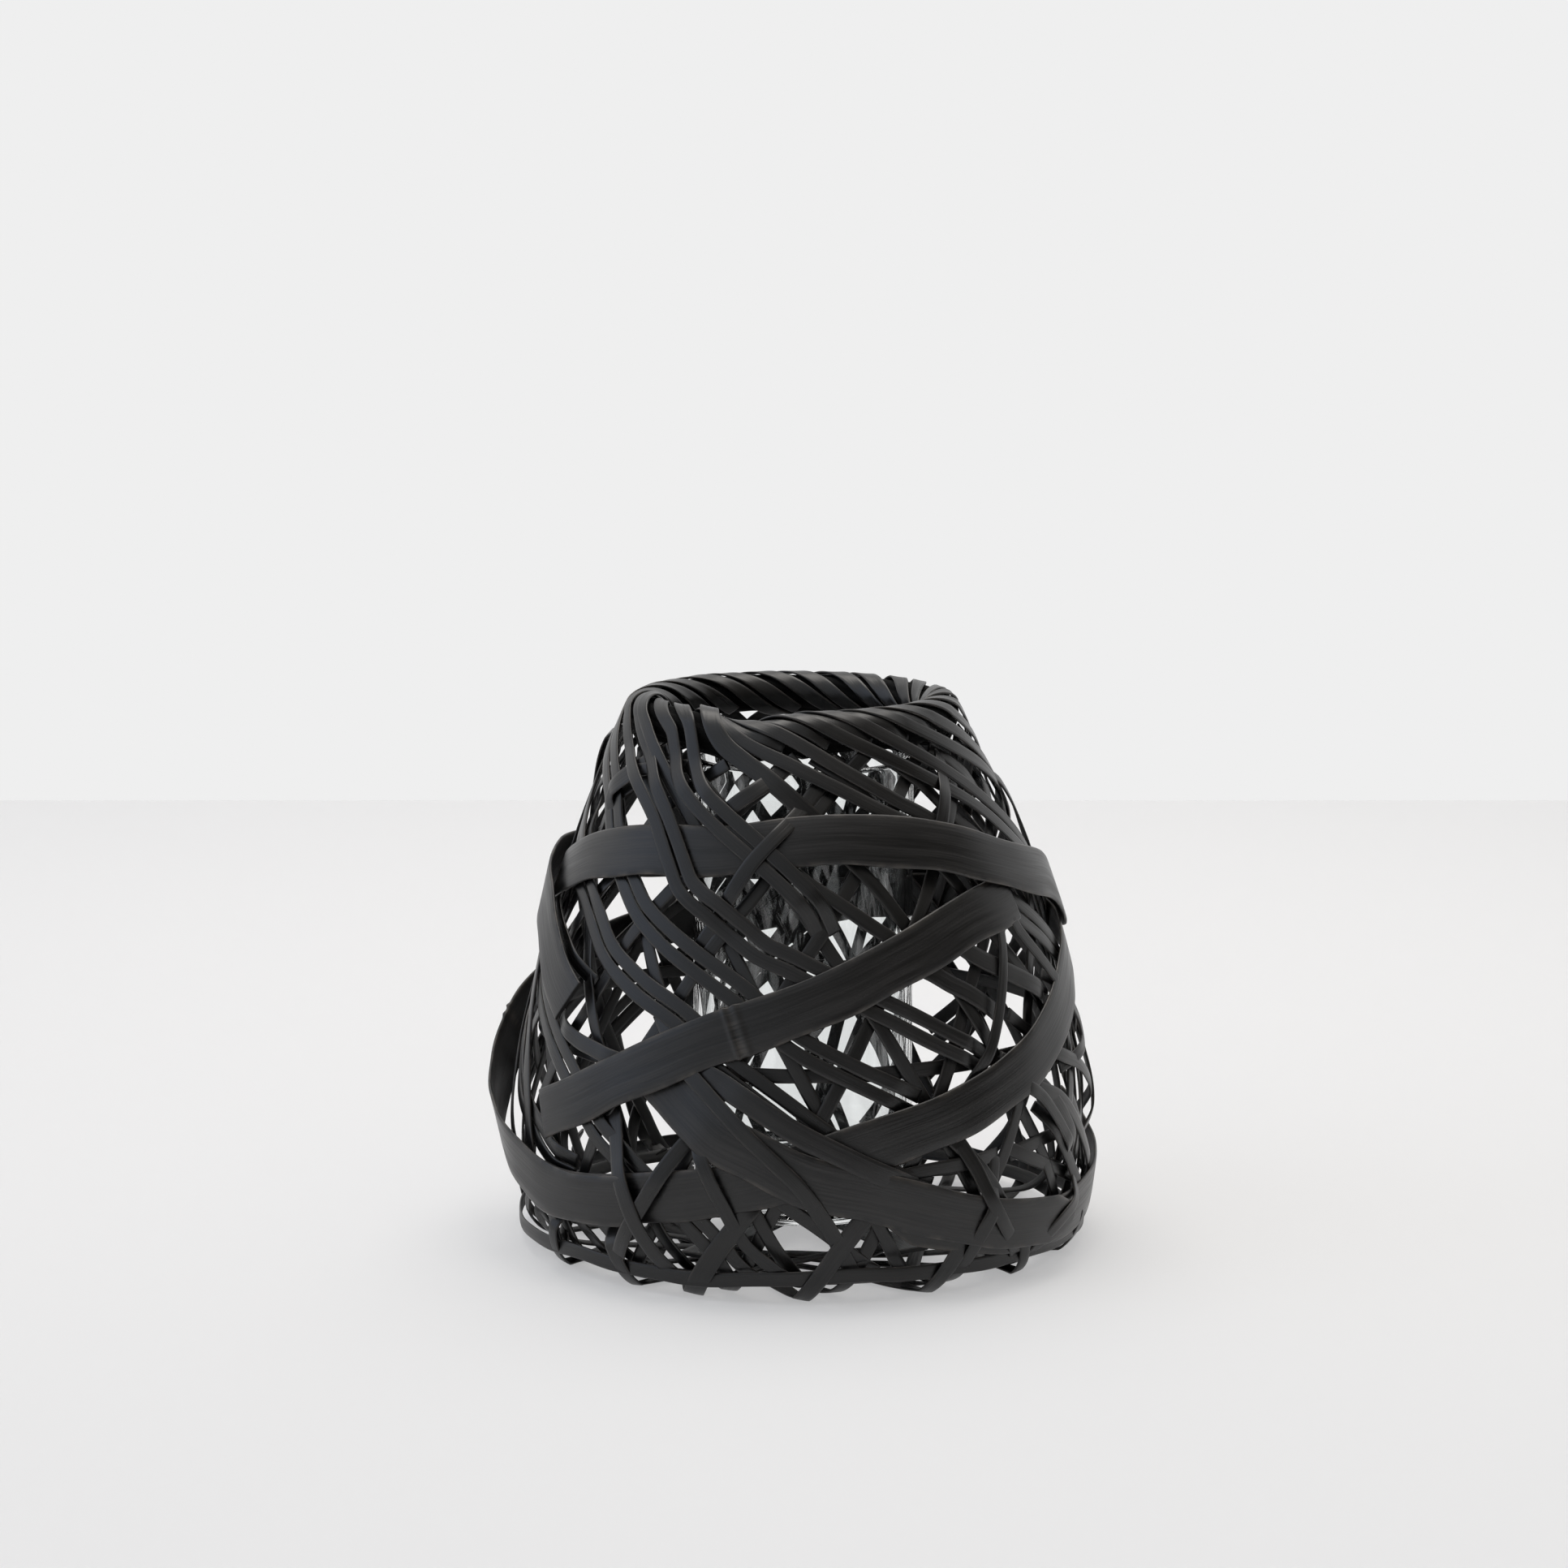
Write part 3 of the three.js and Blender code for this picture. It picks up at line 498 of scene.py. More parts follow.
# The returns: the ends of the strips, brought over the rim in pairs and led down the outside to the foot.
# They lean over, so that they cover the rim like a rope.
RIM_END = 245.0
RETURN_LEAN = 60.0
TWIN_SPACING = 3.6
TWINS_CLOSE_SHARE = 0.8
RIDE_LOW_SHARE = 0.689
RIDE_HIGH_SHARE = 0.853
RIDE_RAMP_SHARE = 0.071
BAND_THICKNESS = 0.9
BAND_WIDTH = 11.5
BAND_GAP = 0.6
BAND_LIFT = RETURN_LIFT + STRIP_THICKNESS / 2 + BAND_GAP + BAND_THICKNESS / 2
BAND_PITCH = BAND_THICKNESS + BAND_GAP
RIDE_LIFT = BAND_LIFT + (BAND_THICKNESS + STRIP_THICKNESS) / 2 + BAND_GAP

# Each pair: its angle at the neck, and then angle and share of the height down the outside. The first and the
# last pair ride over the shoulder band.
RETURN_ROWS = [
    (-42, [(-33, 0.895), (-26, 0.845), (-19, 0.808), (-12, 0.772), (-4, 0.722), (2.6, 0.672), (6, 0.63)]),
    (-102, [(-66, 0.846), (-57, 0.769), (-47, 0.697), (-40, 0.651), (-21, 0.567), (-12, 0.523), (-2, 0.456),
        (8, 0.41), (23, 0.343)]),
    (-132, [(-98, 0.846), (-87, 0.764), (-74, 0.702), (-63, 0.661), (-56, 0.625), (-48, 0.574), (-38, 0.533),
        (-25, 0.482), (-15, 0.41), (-9, 0.374), (-3, 0.338), (6, 0.282), (18, 0.215), (25, 0.19)]),
    (-162, [(-131, 0.846), (-118, 0.748), (-104, 0.656), (-92, 0.574), (-80, 0.502), (-66, 0.43),
        (-52, 0.348), (-44, 0.282), (-38, 0.246), (-30, 0.195), (-19, 0.133)]),
    (-192, [(-164, 0.846), (-152, 0.758), (-138, 0.666), (-124, 0.564), (-110, 0.471), (-98, 0.41),
        (-85, 0.354), (-78, 0.297), (-66, 0.251), (-57, 0.21), (-51, 0.195)]),
    (138, [(163, 0.846), (175, 0.758), (187, 0.676), (201, 0.589), (217, 0.502), (231, 0.42), (243, 0.348),
        (254, 0.277), (264, 0.205)]),
    (108, [(136, 0.851), (150, 0.758), (163, 0.676), (177, 0.589), (192, 0.502), (206, 0.42), (218, 0.348),
        (228, 0.277), (237, 0.205)]),
    (78, [(108, 0.871), (124, 0.789), (139, 0.707), (154, 0.615), (169, 0.523), (183, 0.43), (195, 0.348),
        (206, 0.266)]),
    (48, [(69, 0.912), (84, 0.861), (101, 0.789), (115, 0.717), (129, 0.625), (143, 0.533), (157, 0.441),
        (169, 0.348), (179, 0.256)]),
    (18, [(42, 0.897), (60, 0.83), (76, 0.748), (92, 0.656), (108, 0.559), (122, 0.466), (136, 0.369),
        (150, 0.266)]),
    (-12, [(13, 0.887), (27, 0.835), (38, 0.794), (48, 0.728), (57, 0.656), (72, 0.574), (86, 0.482),
        (100, 0.379), (116, 0.266)]),
    (-72, [(-62, 0.935), (-54, 0.904), (-47.5, 0.875), (-42, 0.842), (-37.5, 0.81), (-34, 0.775), (-31, 0.74),
        (-27.5, 0.7), (-20, 0.662), (-14.7, 0.634), (-9, 0.604), (-2.3, 0.583), (18, 0.503), (31, 0.441),
        (40, 0.4)]),
]
RIDING_PAIRS = (1, 12)
TUCK = 1.6
TUCK_ANGLE = 6.0


def smooth_curve(x, xs, ys):
    """A curve through points, whose slope at each point is that of the line between its neighbours, with a
    cubic between each two."""
    xs = np.asarray(xs, float)
    ys = np.asarray(ys, float)
    k = np.arange(len(xs))
    before = np.maximum(k - 1, 0)
    after = np.minimum(k + 1, len(xs) - 1)
    slope = (ys[after] - ys[before]) / (xs[after] - xs[before])
    i = np.clip(np.searchsorted(xs, x, side="right") - 1, 0, len(xs) - 2)
    span = xs[i + 1] - xs[i]
    u = (x - xs[i]) / span
    v = 1 - u
    level = ys[i] * v * v * (1 + 2 * u) + ys[i + 1] * u * u * (3 - 2 * u)
    return level + span * u * v * (slope[i] * v - slope[i + 1] * u)


roll_length = ROLL_RADIUS * (np.radians(RIM_END) - NECK_TURN)
roll_degrees = np.degrees(np.tan(np.radians(RETURN_LEAN)) / (NECK_RADIUS + RETURN_LIFT))
rim_strips = 2 * len(RETURN_ROWS)
twins_close = length_at(TWINS_CLOSE_SHARE * HEIGHT)


def return_path(neck, row, side, rides, samples=300):
    """One strip of a pair: the pair's line down the side, moved to one side of it by half the spacing. At the
    rim the spacing is as wide as the pairs are apart, and the last degrees dip in to be tucked away."""
    turned, shares = np.array(row, float).T
    angles = np.r_[neck - roll_length * roll_degrees, neck, turned]
    places = np.r_[NECK_LENGTH + roll_length, NECK_LENGTH, length_at(shares * HEIGHT)]
    angle = np.linspace(angles[0], angles[-1], samples)
    place = smooth_curve(angle, angles, places)
    r = -body_points(place, 0.0, 0.0)[0][:, 1]
    per_degree = smooth_curve(angle + 0.5, angles, places) - smooth_curve(angle - 0.5, angles, places)
    heading = np.arctan2(per_degree, np.radians(1) * r)
    rim_half = np.pi * r / rim_strips * np.cos(np.radians(RETURN_LEAN))
    spread = ease(place, twins_close, NECK_LENGTH)
    half = TWIN_SPACING / 2 * (1 - spread) + rim_half * spread
    twin_place = place + side * half * np.cos(heading)
    twin_angle = angle - np.degrees(side * half * np.sin(heading) / r)
    share = np.interp(twin_place, OUTLINE_L, OUTLINE_Z) / HEIGHT
    on = ease(share, RIDE_LOW_SHARE - RIDE_RAMP_SHARE, RIDE_LOW_SHARE)
    off = ease(share, RIDE_HIGH_SHARE, RIDE_HIGH_SHARE + RIDE_RAMP_SHARE)
    lift = RETURN_LIFT + (RIDE_LIFT - RETURN_LIFT) * on * (1 - off) * rides
    lift = lift - TUCK * ease(angle, angles[-1] - TUCK_ANGLE, angles[-1])
    return body_points(twin_place, twin_angle, lift)


for number, (neck, row) in enumerate(RETURN_ROWS, start=1):
    for letter, side in (("a", 1), ("b", -1)):
        node = f"return_{number:02d}_{letter}"
        path = return_path(neck, row, side, number in RIDING_PAIRS)
        lay(f"{node}_strip", path, STRIP_WIDTH, seed=100 + 2 * number + side, node=node)

# The wide bands: strips with the skin side out, about 11.5 mm wide, wound round the outside and pushed in
# under the narrow ones at their ends. The long ones lap over their own beginnings and stand out at the left.
# Each point is the angle, the share of the height and how many layers further out the band lies there.
BAND_ROWS = {
    "shoulder_band": [
        (-110, 0.6, 0), (-96, 0.625, 0), (-84, 0.666, 0), (-75, 0.692, 0), (-60, 0.728, 0), (-40, 0.753, 0),
        (-20, 0.764, 0), (0, 0.784, 0), (20, 0.779, 0.3), (40, 0.753, 1), (60, 0.707, 1), (80, 0.661, 1),
        (100, 0.584, 1), (140, 0.574, 1), (180, 0.594, 1), (220, 0.625, 1), (240, 0.655, 1.4),
        (256, 0.657, 2), (268, 0.644, 2), (276, 0.628, 1.9), (284, 0.605, 1.6), (291, 0.565, 1.3),
        (298, 0.518, 1), (305, 0.478, 1)],
    "middle_band": [
        (-60, 0.277, 0), (-50, 0.318, 0), (-40, 0.364, 0), (-20, 0.446, 0), (0, 0.512, 0), (20, 0.579, 0),
        (40, 0.635, 0), (57, 0.661, 0)],
    "belly_band": [
        (-58, 0.157, 0), (-50, 0.152, 0), (-40, 0.16, 0), (-30, 0.178, 0), (-13, 0.21, 0), (0, 0.243, 0),
        (12, 0.277, 0), (30, 0.321, 0), (50, 0.379, 0), (60, 0.42, 0), (78, 0.502, 0), (95, 0.543, 0),
        (130, 0.553, 0), (180, 0.512, 0), (220, 0.466, 1), (236, 0.43, 2.2), (250, 0.369, 3.1),
        (262, 0.292, 3.3), (272, 0.245, 3.1), (284, 0.206, 2.1), (296, 0.172, 1.2), (304, 0.157, 1),
        (312, 0.156, 1), (319, 0.163, 1), (326, 0.172, 1)],
    "low_band": [
        (-31, 0.392, -1.3), (-27, 0.365, -1.2), (-23.5, 0.341, -0.6), (-19, 0.315, 0.5), (-16, 0.297, 1),
        (-10, 0.272, 1), (0, 0.228, 1), (10, 0.203, 1), (20, 0.176, 1), (30, 0.147, 1), (40, 0.125, 1),
        (56, 0.103, 1), (63, 0.102, 1)],
    "foot_band": [
        (14, 0.174, 0), (20, 0.154, 0), (30, 0.128, 0), (40, 0.111, 0), (55, 0.097, 0), (75, 0.102, 0),
        (95, 0.133, 0), (115, 0.174, 0)],
}
BAND_KNOTS = {"shoulder_band": (282.0,), "middle_band": (58.0,), "belly_band": (365.0,)}
BAND_FLARES = {"belly_band": 26.0, "shoulder_band": 8.0}
FLARE_AT = 264.0
FLARE_SPREAD = 20.0
FLARE_SETBACK = 0.065
BAND_TAPERS = {"low_band": (0, 10.0), "foot_band": (10.0, 0)}
BAND_STEPS = 3
LAYER_BLUR = 9


def band_path(row, flare=0.0):
    """A band's line round the body, in steps of a third of a degree, with its lift by layers, blurred by a
    running mean. The flare, in degrees, turns its upper edge outwards by a bell curve of the angle, where the
    band stands off at the left."""
    angles, shares, layers = np.array(row, float).T
    places = length_at(shares * HEIGHT)
    angle = np.linspace(angles[0], angles[-1], int(BAND_STEPS * (angles[-1] - angles[0])) + 1)
    layer = np.pad(np.interp(angle, angles, layers), LAYER_BLUR, mode="edge")
    kernel = np.ones(2 * LAYER_BLUR + 1) / (2 * LAYER_BLUR + 1)
    layer = np.convolve(layer, kernel, mode="valid")
    flare = flare * bell(angle, FLARE_AT, FLARE_SPREAD)
    lift = BAND_LIFT + BAND_PITCH * layer - FLARE_SETBACK * flare
    points, normals = body_points(smooth_curve(angle, angles, places), angle, lift)
    lean = np.radians(flare)[:, None]
    across = unit(np.cross(np.gradient(points, axis=0), normals))
    return points, normals * np.cos(lean) + across * np.sin(lean)


wide_bamboo = dyed_bamboo("black-dyed bamboo band, skin side out", "#030304", "#1c1b1b", "#544e48",
                          roughness=0.26, fibre_mm=0.5, wear=0.6, relief_mm=0.11)
for number, (node, row) in enumerate(BAND_ROWS.items()):
    path = band_path(row, BAND_FLARES.get(node, 0))
    piece = strip(f"{node}_strip", path, BAND_WIDTH, BAND_THICKNESS, seed=200 + number, sway=0.2, twist=1.5,
                  knots=BAND_KNOTS.get(node, ()), taper=BAND_TAPERS.get(node, (0, 0)))
    dress(piece, node, wide_bamboo)

# The laid strips: shorter ends of the same split bamboo, pushed in where the weave leaves room. Both ends are
# tucked in, or come over the rim from inside. Each row is the width and the points by angle, height and lift,
# or by angle and height with one lift after them. Heights above the neck are millimetres round the rim.
LAID_ROWS = [
    # From the rim, at the front.
    (4.2, [(-50, 139, 2.5), (-36, 131, 2.5), (-24.1, 122.5, 2.2), (-17.1, 119.2, 2.2), (-11.4, 115.9, 2.2),
        (-5, 111.6, 2.2), (2, 106.8, 1.2)]),
    (3.2, [(-98, 140, 2.5), (-76, 131, 2.5), (-57, 122.5, 2.2), (-49.5, 118.5, 2.2), (-42.5, 114.3, 2.2),
        (-36.3, 109.8, 2.2), (-31, 105, 2.2), (-26.4, 100, 1.2)]),
    # Leaning to the left, at the front.
    (3.4, [(9, 113, 0), (5.5, 110.3, 0.4), (2, 107.2, 1), (-1.5, 104.2, 2.6), (-6, 100.3, 4.6),
        (-11, 95.6, 4.8), (-15.2, 90.2, 4.2), (-18.3, 85.8, 2.6), (-21, 82, 1)]),
    (3.4, [(41.5, 102.5, 2.3), (45.3, 107.3, 2.9), (49, 111, 1.6)]),
    (3.4, [(38.5, 24, 2.2), (36.8, 19.7, 5.2), (34.2, 14.9, 5.2), (32.6, 9, 3.4), (32, 5, 2.2),
        (31, 2.5, 1.2)]),
    (3.4, [(66, 20, 2.2), (62.9, 15.8, 4.6), (57, 13.1, 5.2), (52, 9, 4), (50, 4, 1.6)]),
    (3.2, [(-40, 114.5, 0.5), (-48, 113, 2.2), (-56.7, 111.3, 2.3), (-62.5, 107.9, 2.3), (-63.3, 104.4, 2.2),
        (-60, 100, 0)]),
    (2.8, [(50.5, 82, 2.2), (49.3, 76, 2.9), (47.6, 70, 2.9), (45.2, 64, 2.9), (42.4, 58, 2.9),
        (39.2, 52.5, 2.9), (36, 48, 1.4)]),
    (3.2, [(51, 30), (56, 30.6), (62.7, 30.6)], 0),
    (3.6, [(-22, 37, 1.2), (-24.5, 32.5, 3.4), (-27.5, 27, 5.2), (-30.5, 21.5, 5.2), (-33.5, 16, 5.2),
        (-36.7, 10.5, 3.9), (-40, 5.5, 2.2)]),
    # Leaning to the right, at the front.
    (3.4, [(33, 31, 2.2), (34.4, 27.6, 3.2), (36.2, 21.6, 5.2), (39.5, 15.6, 5.2), (45, 9, 3.4),
        (48, 5, 1.6)]),
    (3.2, [(-1.1, 93.1), (4, 89.7), (9.5, 86.1), (15.7, 81.9), (21.1, 78.2)], 2.2),
    (3, [(53.3, 81), (56.9, 76.2), (61.8, 70.7), (66.8, 65.2), (68.6, 63.1)], 2.9),
    (4.2, [(35.4, 77.3), (39.3, 74.6), (44.6, 71.5), (51.6, 67.7), (59.8, 63.4)], 2.2),
    (4, [(28.7, 71.3), (32.9, 68.6), (37.5, 66.2), (42, 63.1)], 1.4),
    (3, [(71.1, 61.7), (75.8, 57), (80.6, 51.5), (80.5, 47.4), (73.8, 45.9)], 2.6),
    (3.4, [(49.3, 47.5), (54.8, 43.3), (59.5, 38.1), (63.1, 33.2), (65.9, 28.5)], 2.2),
    (3.2, [(48.9, 44), (53.4, 40.9), (57.1, 36.1), (60.4, 31.2), (62.4, 28)], 2.9),
    (3.2, [(57.1, 33.2), (60, 28.5), (64.7, 22.1), (69.4, 15.7)], 2.4),
    (3.2, [(49.3, 28.4), (57.5, 24.2), (69.5, 18.6)], 0.4),
    (3.2, [(16.7, 28.1), (22.5, 29.2), (28.7, 29.7), (35.4, 29.8)], 1.2),
    (3.2, [(-90.5, 83.5), (-82, 80), (-73.6, 76.9), (-66.2, 73.6), (-59.2, 70)], 2.3),
    (3.6, [(-56.8, 55), (-51.9, 53.6), (-46.2, 52.7), (-41.6, 51.7)], 2.3),
    (3.6, [(-28, 57, 1.2), (-24.5, 52.5, 2.2), (-18, 46.2, 4), (-11.5, 39.8, 5.7), (-5.5, 33.4, 5.9),
        (0, 27.2, 5.9), (3.5, 21, 5), (6.5, 14.5, 2.8), (9, 9, 1.4)]),
    (4, [(-39.4, 37, 1), (-37.5, 32, 2.6), (-35.5, 27, 4.6), (-33.4, 22, 5.4), (-31.2, 17, 5.6),
        (-29, 12, 4.4), (-26.8, 7, 2.2)]),
    (3.2, [(-56.4, 13.7), (-54.6, 10.2), (-53.2, 6.5)], 0.6),
    (3.2, [(-45.3, 15.9), (-41.9, 12.8), (-38.7, 9.2)], 0.6),
    (3, [(-57.1, 14.4), (-57, 11.2), (-57, 7.6)], 2.4),
    (5, [(-20.3, 50.9, 2.2), (-15.9, 48.9, 3.4), (-11.1, 46, 5), (-5.8, 42.3, 5.5), (-0.7, 39, 5.7),
        (5.1, 35.5, 5.7), (10.9, 31.9, 5.4), (17.6, 28, 4)]),
    (3.2, [(-2.3, 21.9), (1.9, 18.6), (5.9, 15.1), (9.9, 11.1)], 0.9),
    (3.2, [(-20.8, 20.4), (-17.6, 17.1), (-14.8, 13.8), (-12.6, 10.2)], 2.2),
    (3.2, [(-22.8, 17.6), (-19.6, 13.9), (-16.7, 10.2), (-14.9, 6.5)], 1.4),
    # Longer ones at the left, the right and the foot.
    (3.2, [(-19, 33, 4.4), (-15, 24, 4.4), (-11, 14.5, 2.2), (-6, 9.5, 2.2), (-2, 5.5, 1)]),
    (3.2, [(28, 38, 0), (35, 29, 2.2), (41, 19.5, 2.2), (47.5, 8.5, 2.2), (52, 4, 0)]),
    (3.2, [(44, 50, 0), (51, 44, 2.2), (62, 38, 2.2), (72, 27, 2.2), (78, 19, 2.2), (83, 12, 0)]),
    (3.2, [(54, 56, 0), (62, 49, 2.2), (72, 44.5, 2.2), (80, 40, 2.2), (90, 33, 2.2), (98, 26, 0)]),
    # Two short ones that climb to the right at the upper left.
    (3.6, [(-20.6, 104.4, 2.2), (-16.8, 106.8, 3.3), (-11.2, 110.3, 3.3), (-6.4, 113.8, 1.4)]),
    (4.4, [(-64.2, 106.8, 2.3), (-56.3, 111.2, 2.3), (-49.3, 115.2, 1.2)]),
]
LAID_OVERRUN = 7.0
LAID_TUCK = -0.2
LAID_LOWEST = 0.8
LAID_STEP = 0.9
LAID_FEWEST = 14


def laid_path(row):
    """A strip's line through its points, run on straight at both ends by the overrun, to dip inside there."""
    angle, height, lift = np.array(row, float).T
    length = np.where(height < NECK_HEIGHT, length_at(height), NECK_LENGTH + height - NECK_HEIGHT)
    radius = -body_points(length, 0.0, 0.0)[0][:, 1]
    turned = np.radians(angle) * radius
    first = np.hypot(turned[1] - turned[0], length[1] - length[0])
    last = np.hypot(turned[-1] - turned[-2], length[-1] - length[-2])
    angle, length = [np.r_[line[0] - (line[1] - line[0]) * LAID_OVERRUN / first, line,
                           line[-1] + (line[-1] - line[-2]) * LAID_OVERRUN / last]
                     for line in (angle, length)]
    lift = np.r_[lift[0] if height[0] > NECK_HEIGHT else LAID_TUCK, lift, LAID_TUCK]
    steps = np.hypot(np.diff(length), np.radians(np.diff(angle)) * np.append(radius, radius[-1]))
    way = np.r_[0, np.cumsum(steps)]
    at = np.linspace(0, way[-1], max(int(way[-1] / LAID_STEP), LAID_FEWEST))
    length = np.maximum(smooth_curve(at, way, length), FLOOR_RADIUS)
    points, normals = body_points(length, smooth_curve(at, way, angle), smooth_curve(at, way, lift))
    points[:, 2] = np.maximum(points[:, 2], LAID_LOWEST)
    return points, normals


for number, (width, row, *level) in enumerate(LAID_ROWS):
    path = laid_path([(*point, *level) for point in row])
    lay(f"laid_strip_{number + 1:03d}", path, width, seed=400 + number)

# The wraps of the rim: narrower strips between the returns at the front, wound round the core with them. They
# start a little below the neck, where they dip in under the returns.
WRAP_FROM = -12.0
WRAP_COUNT = 5
WRAP_WIDTH = 2.4
WRAP_LIFT = 1.1
WRAP_BELOW = 3.5
WRAP_DIP_FROM = 0.5
WRAP_DIP = 1.2
WRAP_RINGS = 60
for number in range(WRAP_COUNT):
    round_rim = np.linspace(-WRAP_BELOW, roll_length, WRAP_RINGS)
    angle = WRAP_FROM + number * 360 / rim_strips - round_rim * roll_degrees
    lift = WRAP_LIFT - WRAP_DIP * ease(-round_rim, WRAP_DIP_FROM, WRAP_BELOW)
    path = body_points(NECK_LENGTH + round_rim, angle, lift)
    lay(f"rim_wrap_{number + 1:02d}", path, WRAP_WIDTH, seed=560 + number)

# The outer hoop of the foot, laid upright over the stakes, and the wraps: ends that come down over it and are
# bent under the floor, where the basket stands on them.
OUTER_HOOP_HEIGHT = 5.7
OUTER_HOOP_RADIUS = 66.0
OUTER_HOOP_WIDTH = 3.3
# Each wave of the hoop is how many there are to a turn, where it starts in degrees and how high it is.
OUTER_HOOP_WAVES = ((2, 40, 0.6), (5, 0, 0.3))
# Each wrap is its angle at the hoop, how far it leans over on its way, the height of its top and its width.
FOOT_WRAPS = [(-58, 8, 15, 3), (-37, -9, 15, 4), (-21, 17, 27, 4.6), (1.5, 17, 26, 4.4), (27, 15, 22, 4.4),
              (49, -9, 14, 3.2), (71, 8, 14, 3), (96, -9, 16, 3.4), (124, 9, 14, 3.2), (152, -9, 15, 3.6),
              (178, 9, 14, 3), (206, -9, 15, 3.4), (233, 9, 14, 3.2), (262, -9, 15, 3.4)]
ENDS_STOP = 47.0
ENDS_RUN = 26.0
ENDS_LIFT = 2.85
ENDS_TUCK = 3.2
ENDS_TUCK_SHARE = 0.16
ENDS_BULGE = 0.9
ENDS_BULGE_SHARE = 0.5
ENDS_DROP = 2.0
ENDS_DROP_SHARES = (0.1, 0.8)
ENDS_RINGS = 60
around = np.radians(hoop_angles)
radial = np.stack([np.sin(around), -np.cos(around), 0 * around], axis=-1)
level = OUTER_HOOP_HEIGHT + sum(high * np.sin(np.radians(hoop_angles * waves + start))
                                for waves, start, high in OUTER_HOOP_WAVES)
path = OUTER_HOOP_RADIUS * radial + level[:, None] * np.array([0, 0, 1.0]), radial
lay("outer_foot_hoop", path, OUTER_HOOP_WIDTH, seed=590, closed=True, sway=0.3)


def foot_wrap_path(at, lean, top):
    """A line down the side, over the hoop and under the floor. It starts tucked in, stands out over the hoop
    by a bell curve of the way past it, and draws in under the floor by a smooth step of it."""
    share = np.linspace(0, 1, ENDS_RINGS)
    length = length_at(top) + (ENDS_STOP - length_at(top)) * share
    below_hoop = length_at(OUTER_HOOP_HEIGHT) - length
    past = below_hoop / below_hoop[-1]
    lift = ENDS_LIFT - ENDS_TUCK * ease(-share, -ENDS_TUCK_SHARE, 0)
    lift = lift + ENDS_BULGE * bell(past, 0, ENDS_BULGE_SHARE)
    lift = lift - ENDS_DROP * ease(past, *ENDS_DROP_SHARES)
    points, normals = body_points(length, at - lean * below_hoop / ENDS_RUN, lift)
    points[:, 2] = np.maximum(points[:, 2], LAID_LOWEST)
    return points, normals


for number, (at, lean, top, width) in enumerate(FOOT_WRAPS):
    lay(f"foot_wrap_{number + 1:02d}", foot_wrap_path(at, lean, top), width, seed=610 + number)

# The strips at the back and the sides, which show through the openings: they cross in both directions, nearly
# evenly spaced. One in four runs inside the stakes, and one in three is a short one.
BACK_SPREAD = (0.1, 0.9)
BACK_POINTS = 7
BACK_FROM = 84.0
BACK_TO = 284.0
BACK_STRIPS = 14
BACK_REACH = (36.0, 70.0)
BACK_TOP = (96.0, 121.0)
BACK_FOOT = (8.0, 30.0)
BACK_SHORT_TOP = (60.0, 90.0)
BACK_SHORT_FOOT = (10.0, 24.0)
BACK_BOW = 6.0
BACK_WIDTH = (3.0, 4.4)
BACK_LIFT = 2.3
BACK_LEFT_LIFT = 2.85
back_rng = np.random.default_rng(77)
for number in range(BACK_STRIPS):
    lean = 1 if number % 2 else -1
    start = BACK_FROM + (BACK_TO - BACK_FROM) * (number + back_rng.uniform(*BACK_SPREAD)) / BACK_STRIPS
    reach = back_rng.uniform(*BACK_REACH)
    high = back_rng.uniform(*(BACK_TOP if number % 3 else BACK_SHORT_TOP))
    low = back_rng.uniform(*(BACK_FOOT if number % 3 else BACK_SHORT_FOOT))
    share = np.linspace(0, 1, BACK_POINTS)
    bow = back_rng.uniform(-BACK_BOW, BACK_BOW) * np.sin(np.pi * share)
    level = BACK_LIFT if lean > 0 else BACK_LEFT_LIFT
    if number % 4 == 0:
        level = LAID_TUCK
    row = np.stack([start - lean * reach * (0.5 - share) + bow, high + (low - high) * share,
                    np.full(len(share), level)], axis=-1)
    lay(f"back_strip_{number + 1:02d}", laid_path(row), back_rng.uniform(*BACK_WIDTH), seed=700 + number)

# The braces: three flat splints of the same bamboo, laid over each other on the stakes of the floor. Their
# ends reach almost to the foot, and the tube stands on them.
BRACE_COUNT = 3
BRACE_LENGTH = 98.0
BRACE_WIDTH = 9.0
BRACE_THICKNESS = 0.7
BRACE_RINGS = 60
for number in range(BRACE_COUNT):
    node = f"floor_brace_{number + 1:02d}"
    low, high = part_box(node)
    along = np.linspace(-BRACE_LENGTH / 2, BRACE_LENGTH / 2, BRACE_RINGS)
    way = np.radians(180 / BRACE_COUNT * number)
    middle = (low.z + high.z) / 2 * 1000
    points = np.stack([along * np.cos(way), along * np.sin(way), np.full(BRACE_RINGS, middle)], axis=-1)
    path = points, np.tile([0.0, 0.0, 1.0], (BRACE_RINGS, 1))
    lay(f"{node}_strip", path, BRACE_WIDTH, seed=300 + number, node=node, thickness=BRACE_THICKNESS, sway=0,
        twist=0)

# The water tube: blown clear glass with a thick base and a fire-polished mouth. Its inner wall is a little
# uneven, which draws what is behind it out into upright streaks.
GLASS_WALL = 2.0
GLASS_FLOOR = 5.0
GLASS_HEEL = 2.0
GLASS_BOWL = 4.0
# The hollow under the base, as radius and height, and the radii of the rings of the floor inside.
GLASS_HOLLOW = [(0, 0.9), (6, 0.8), (12, 0.5), (18, 0.15)]
GLASS_FLOOR_RINGS = [14, 9, 4, 0]
GLASS_WAVED_RINGS = 3
GLASS_IOR = 1.5
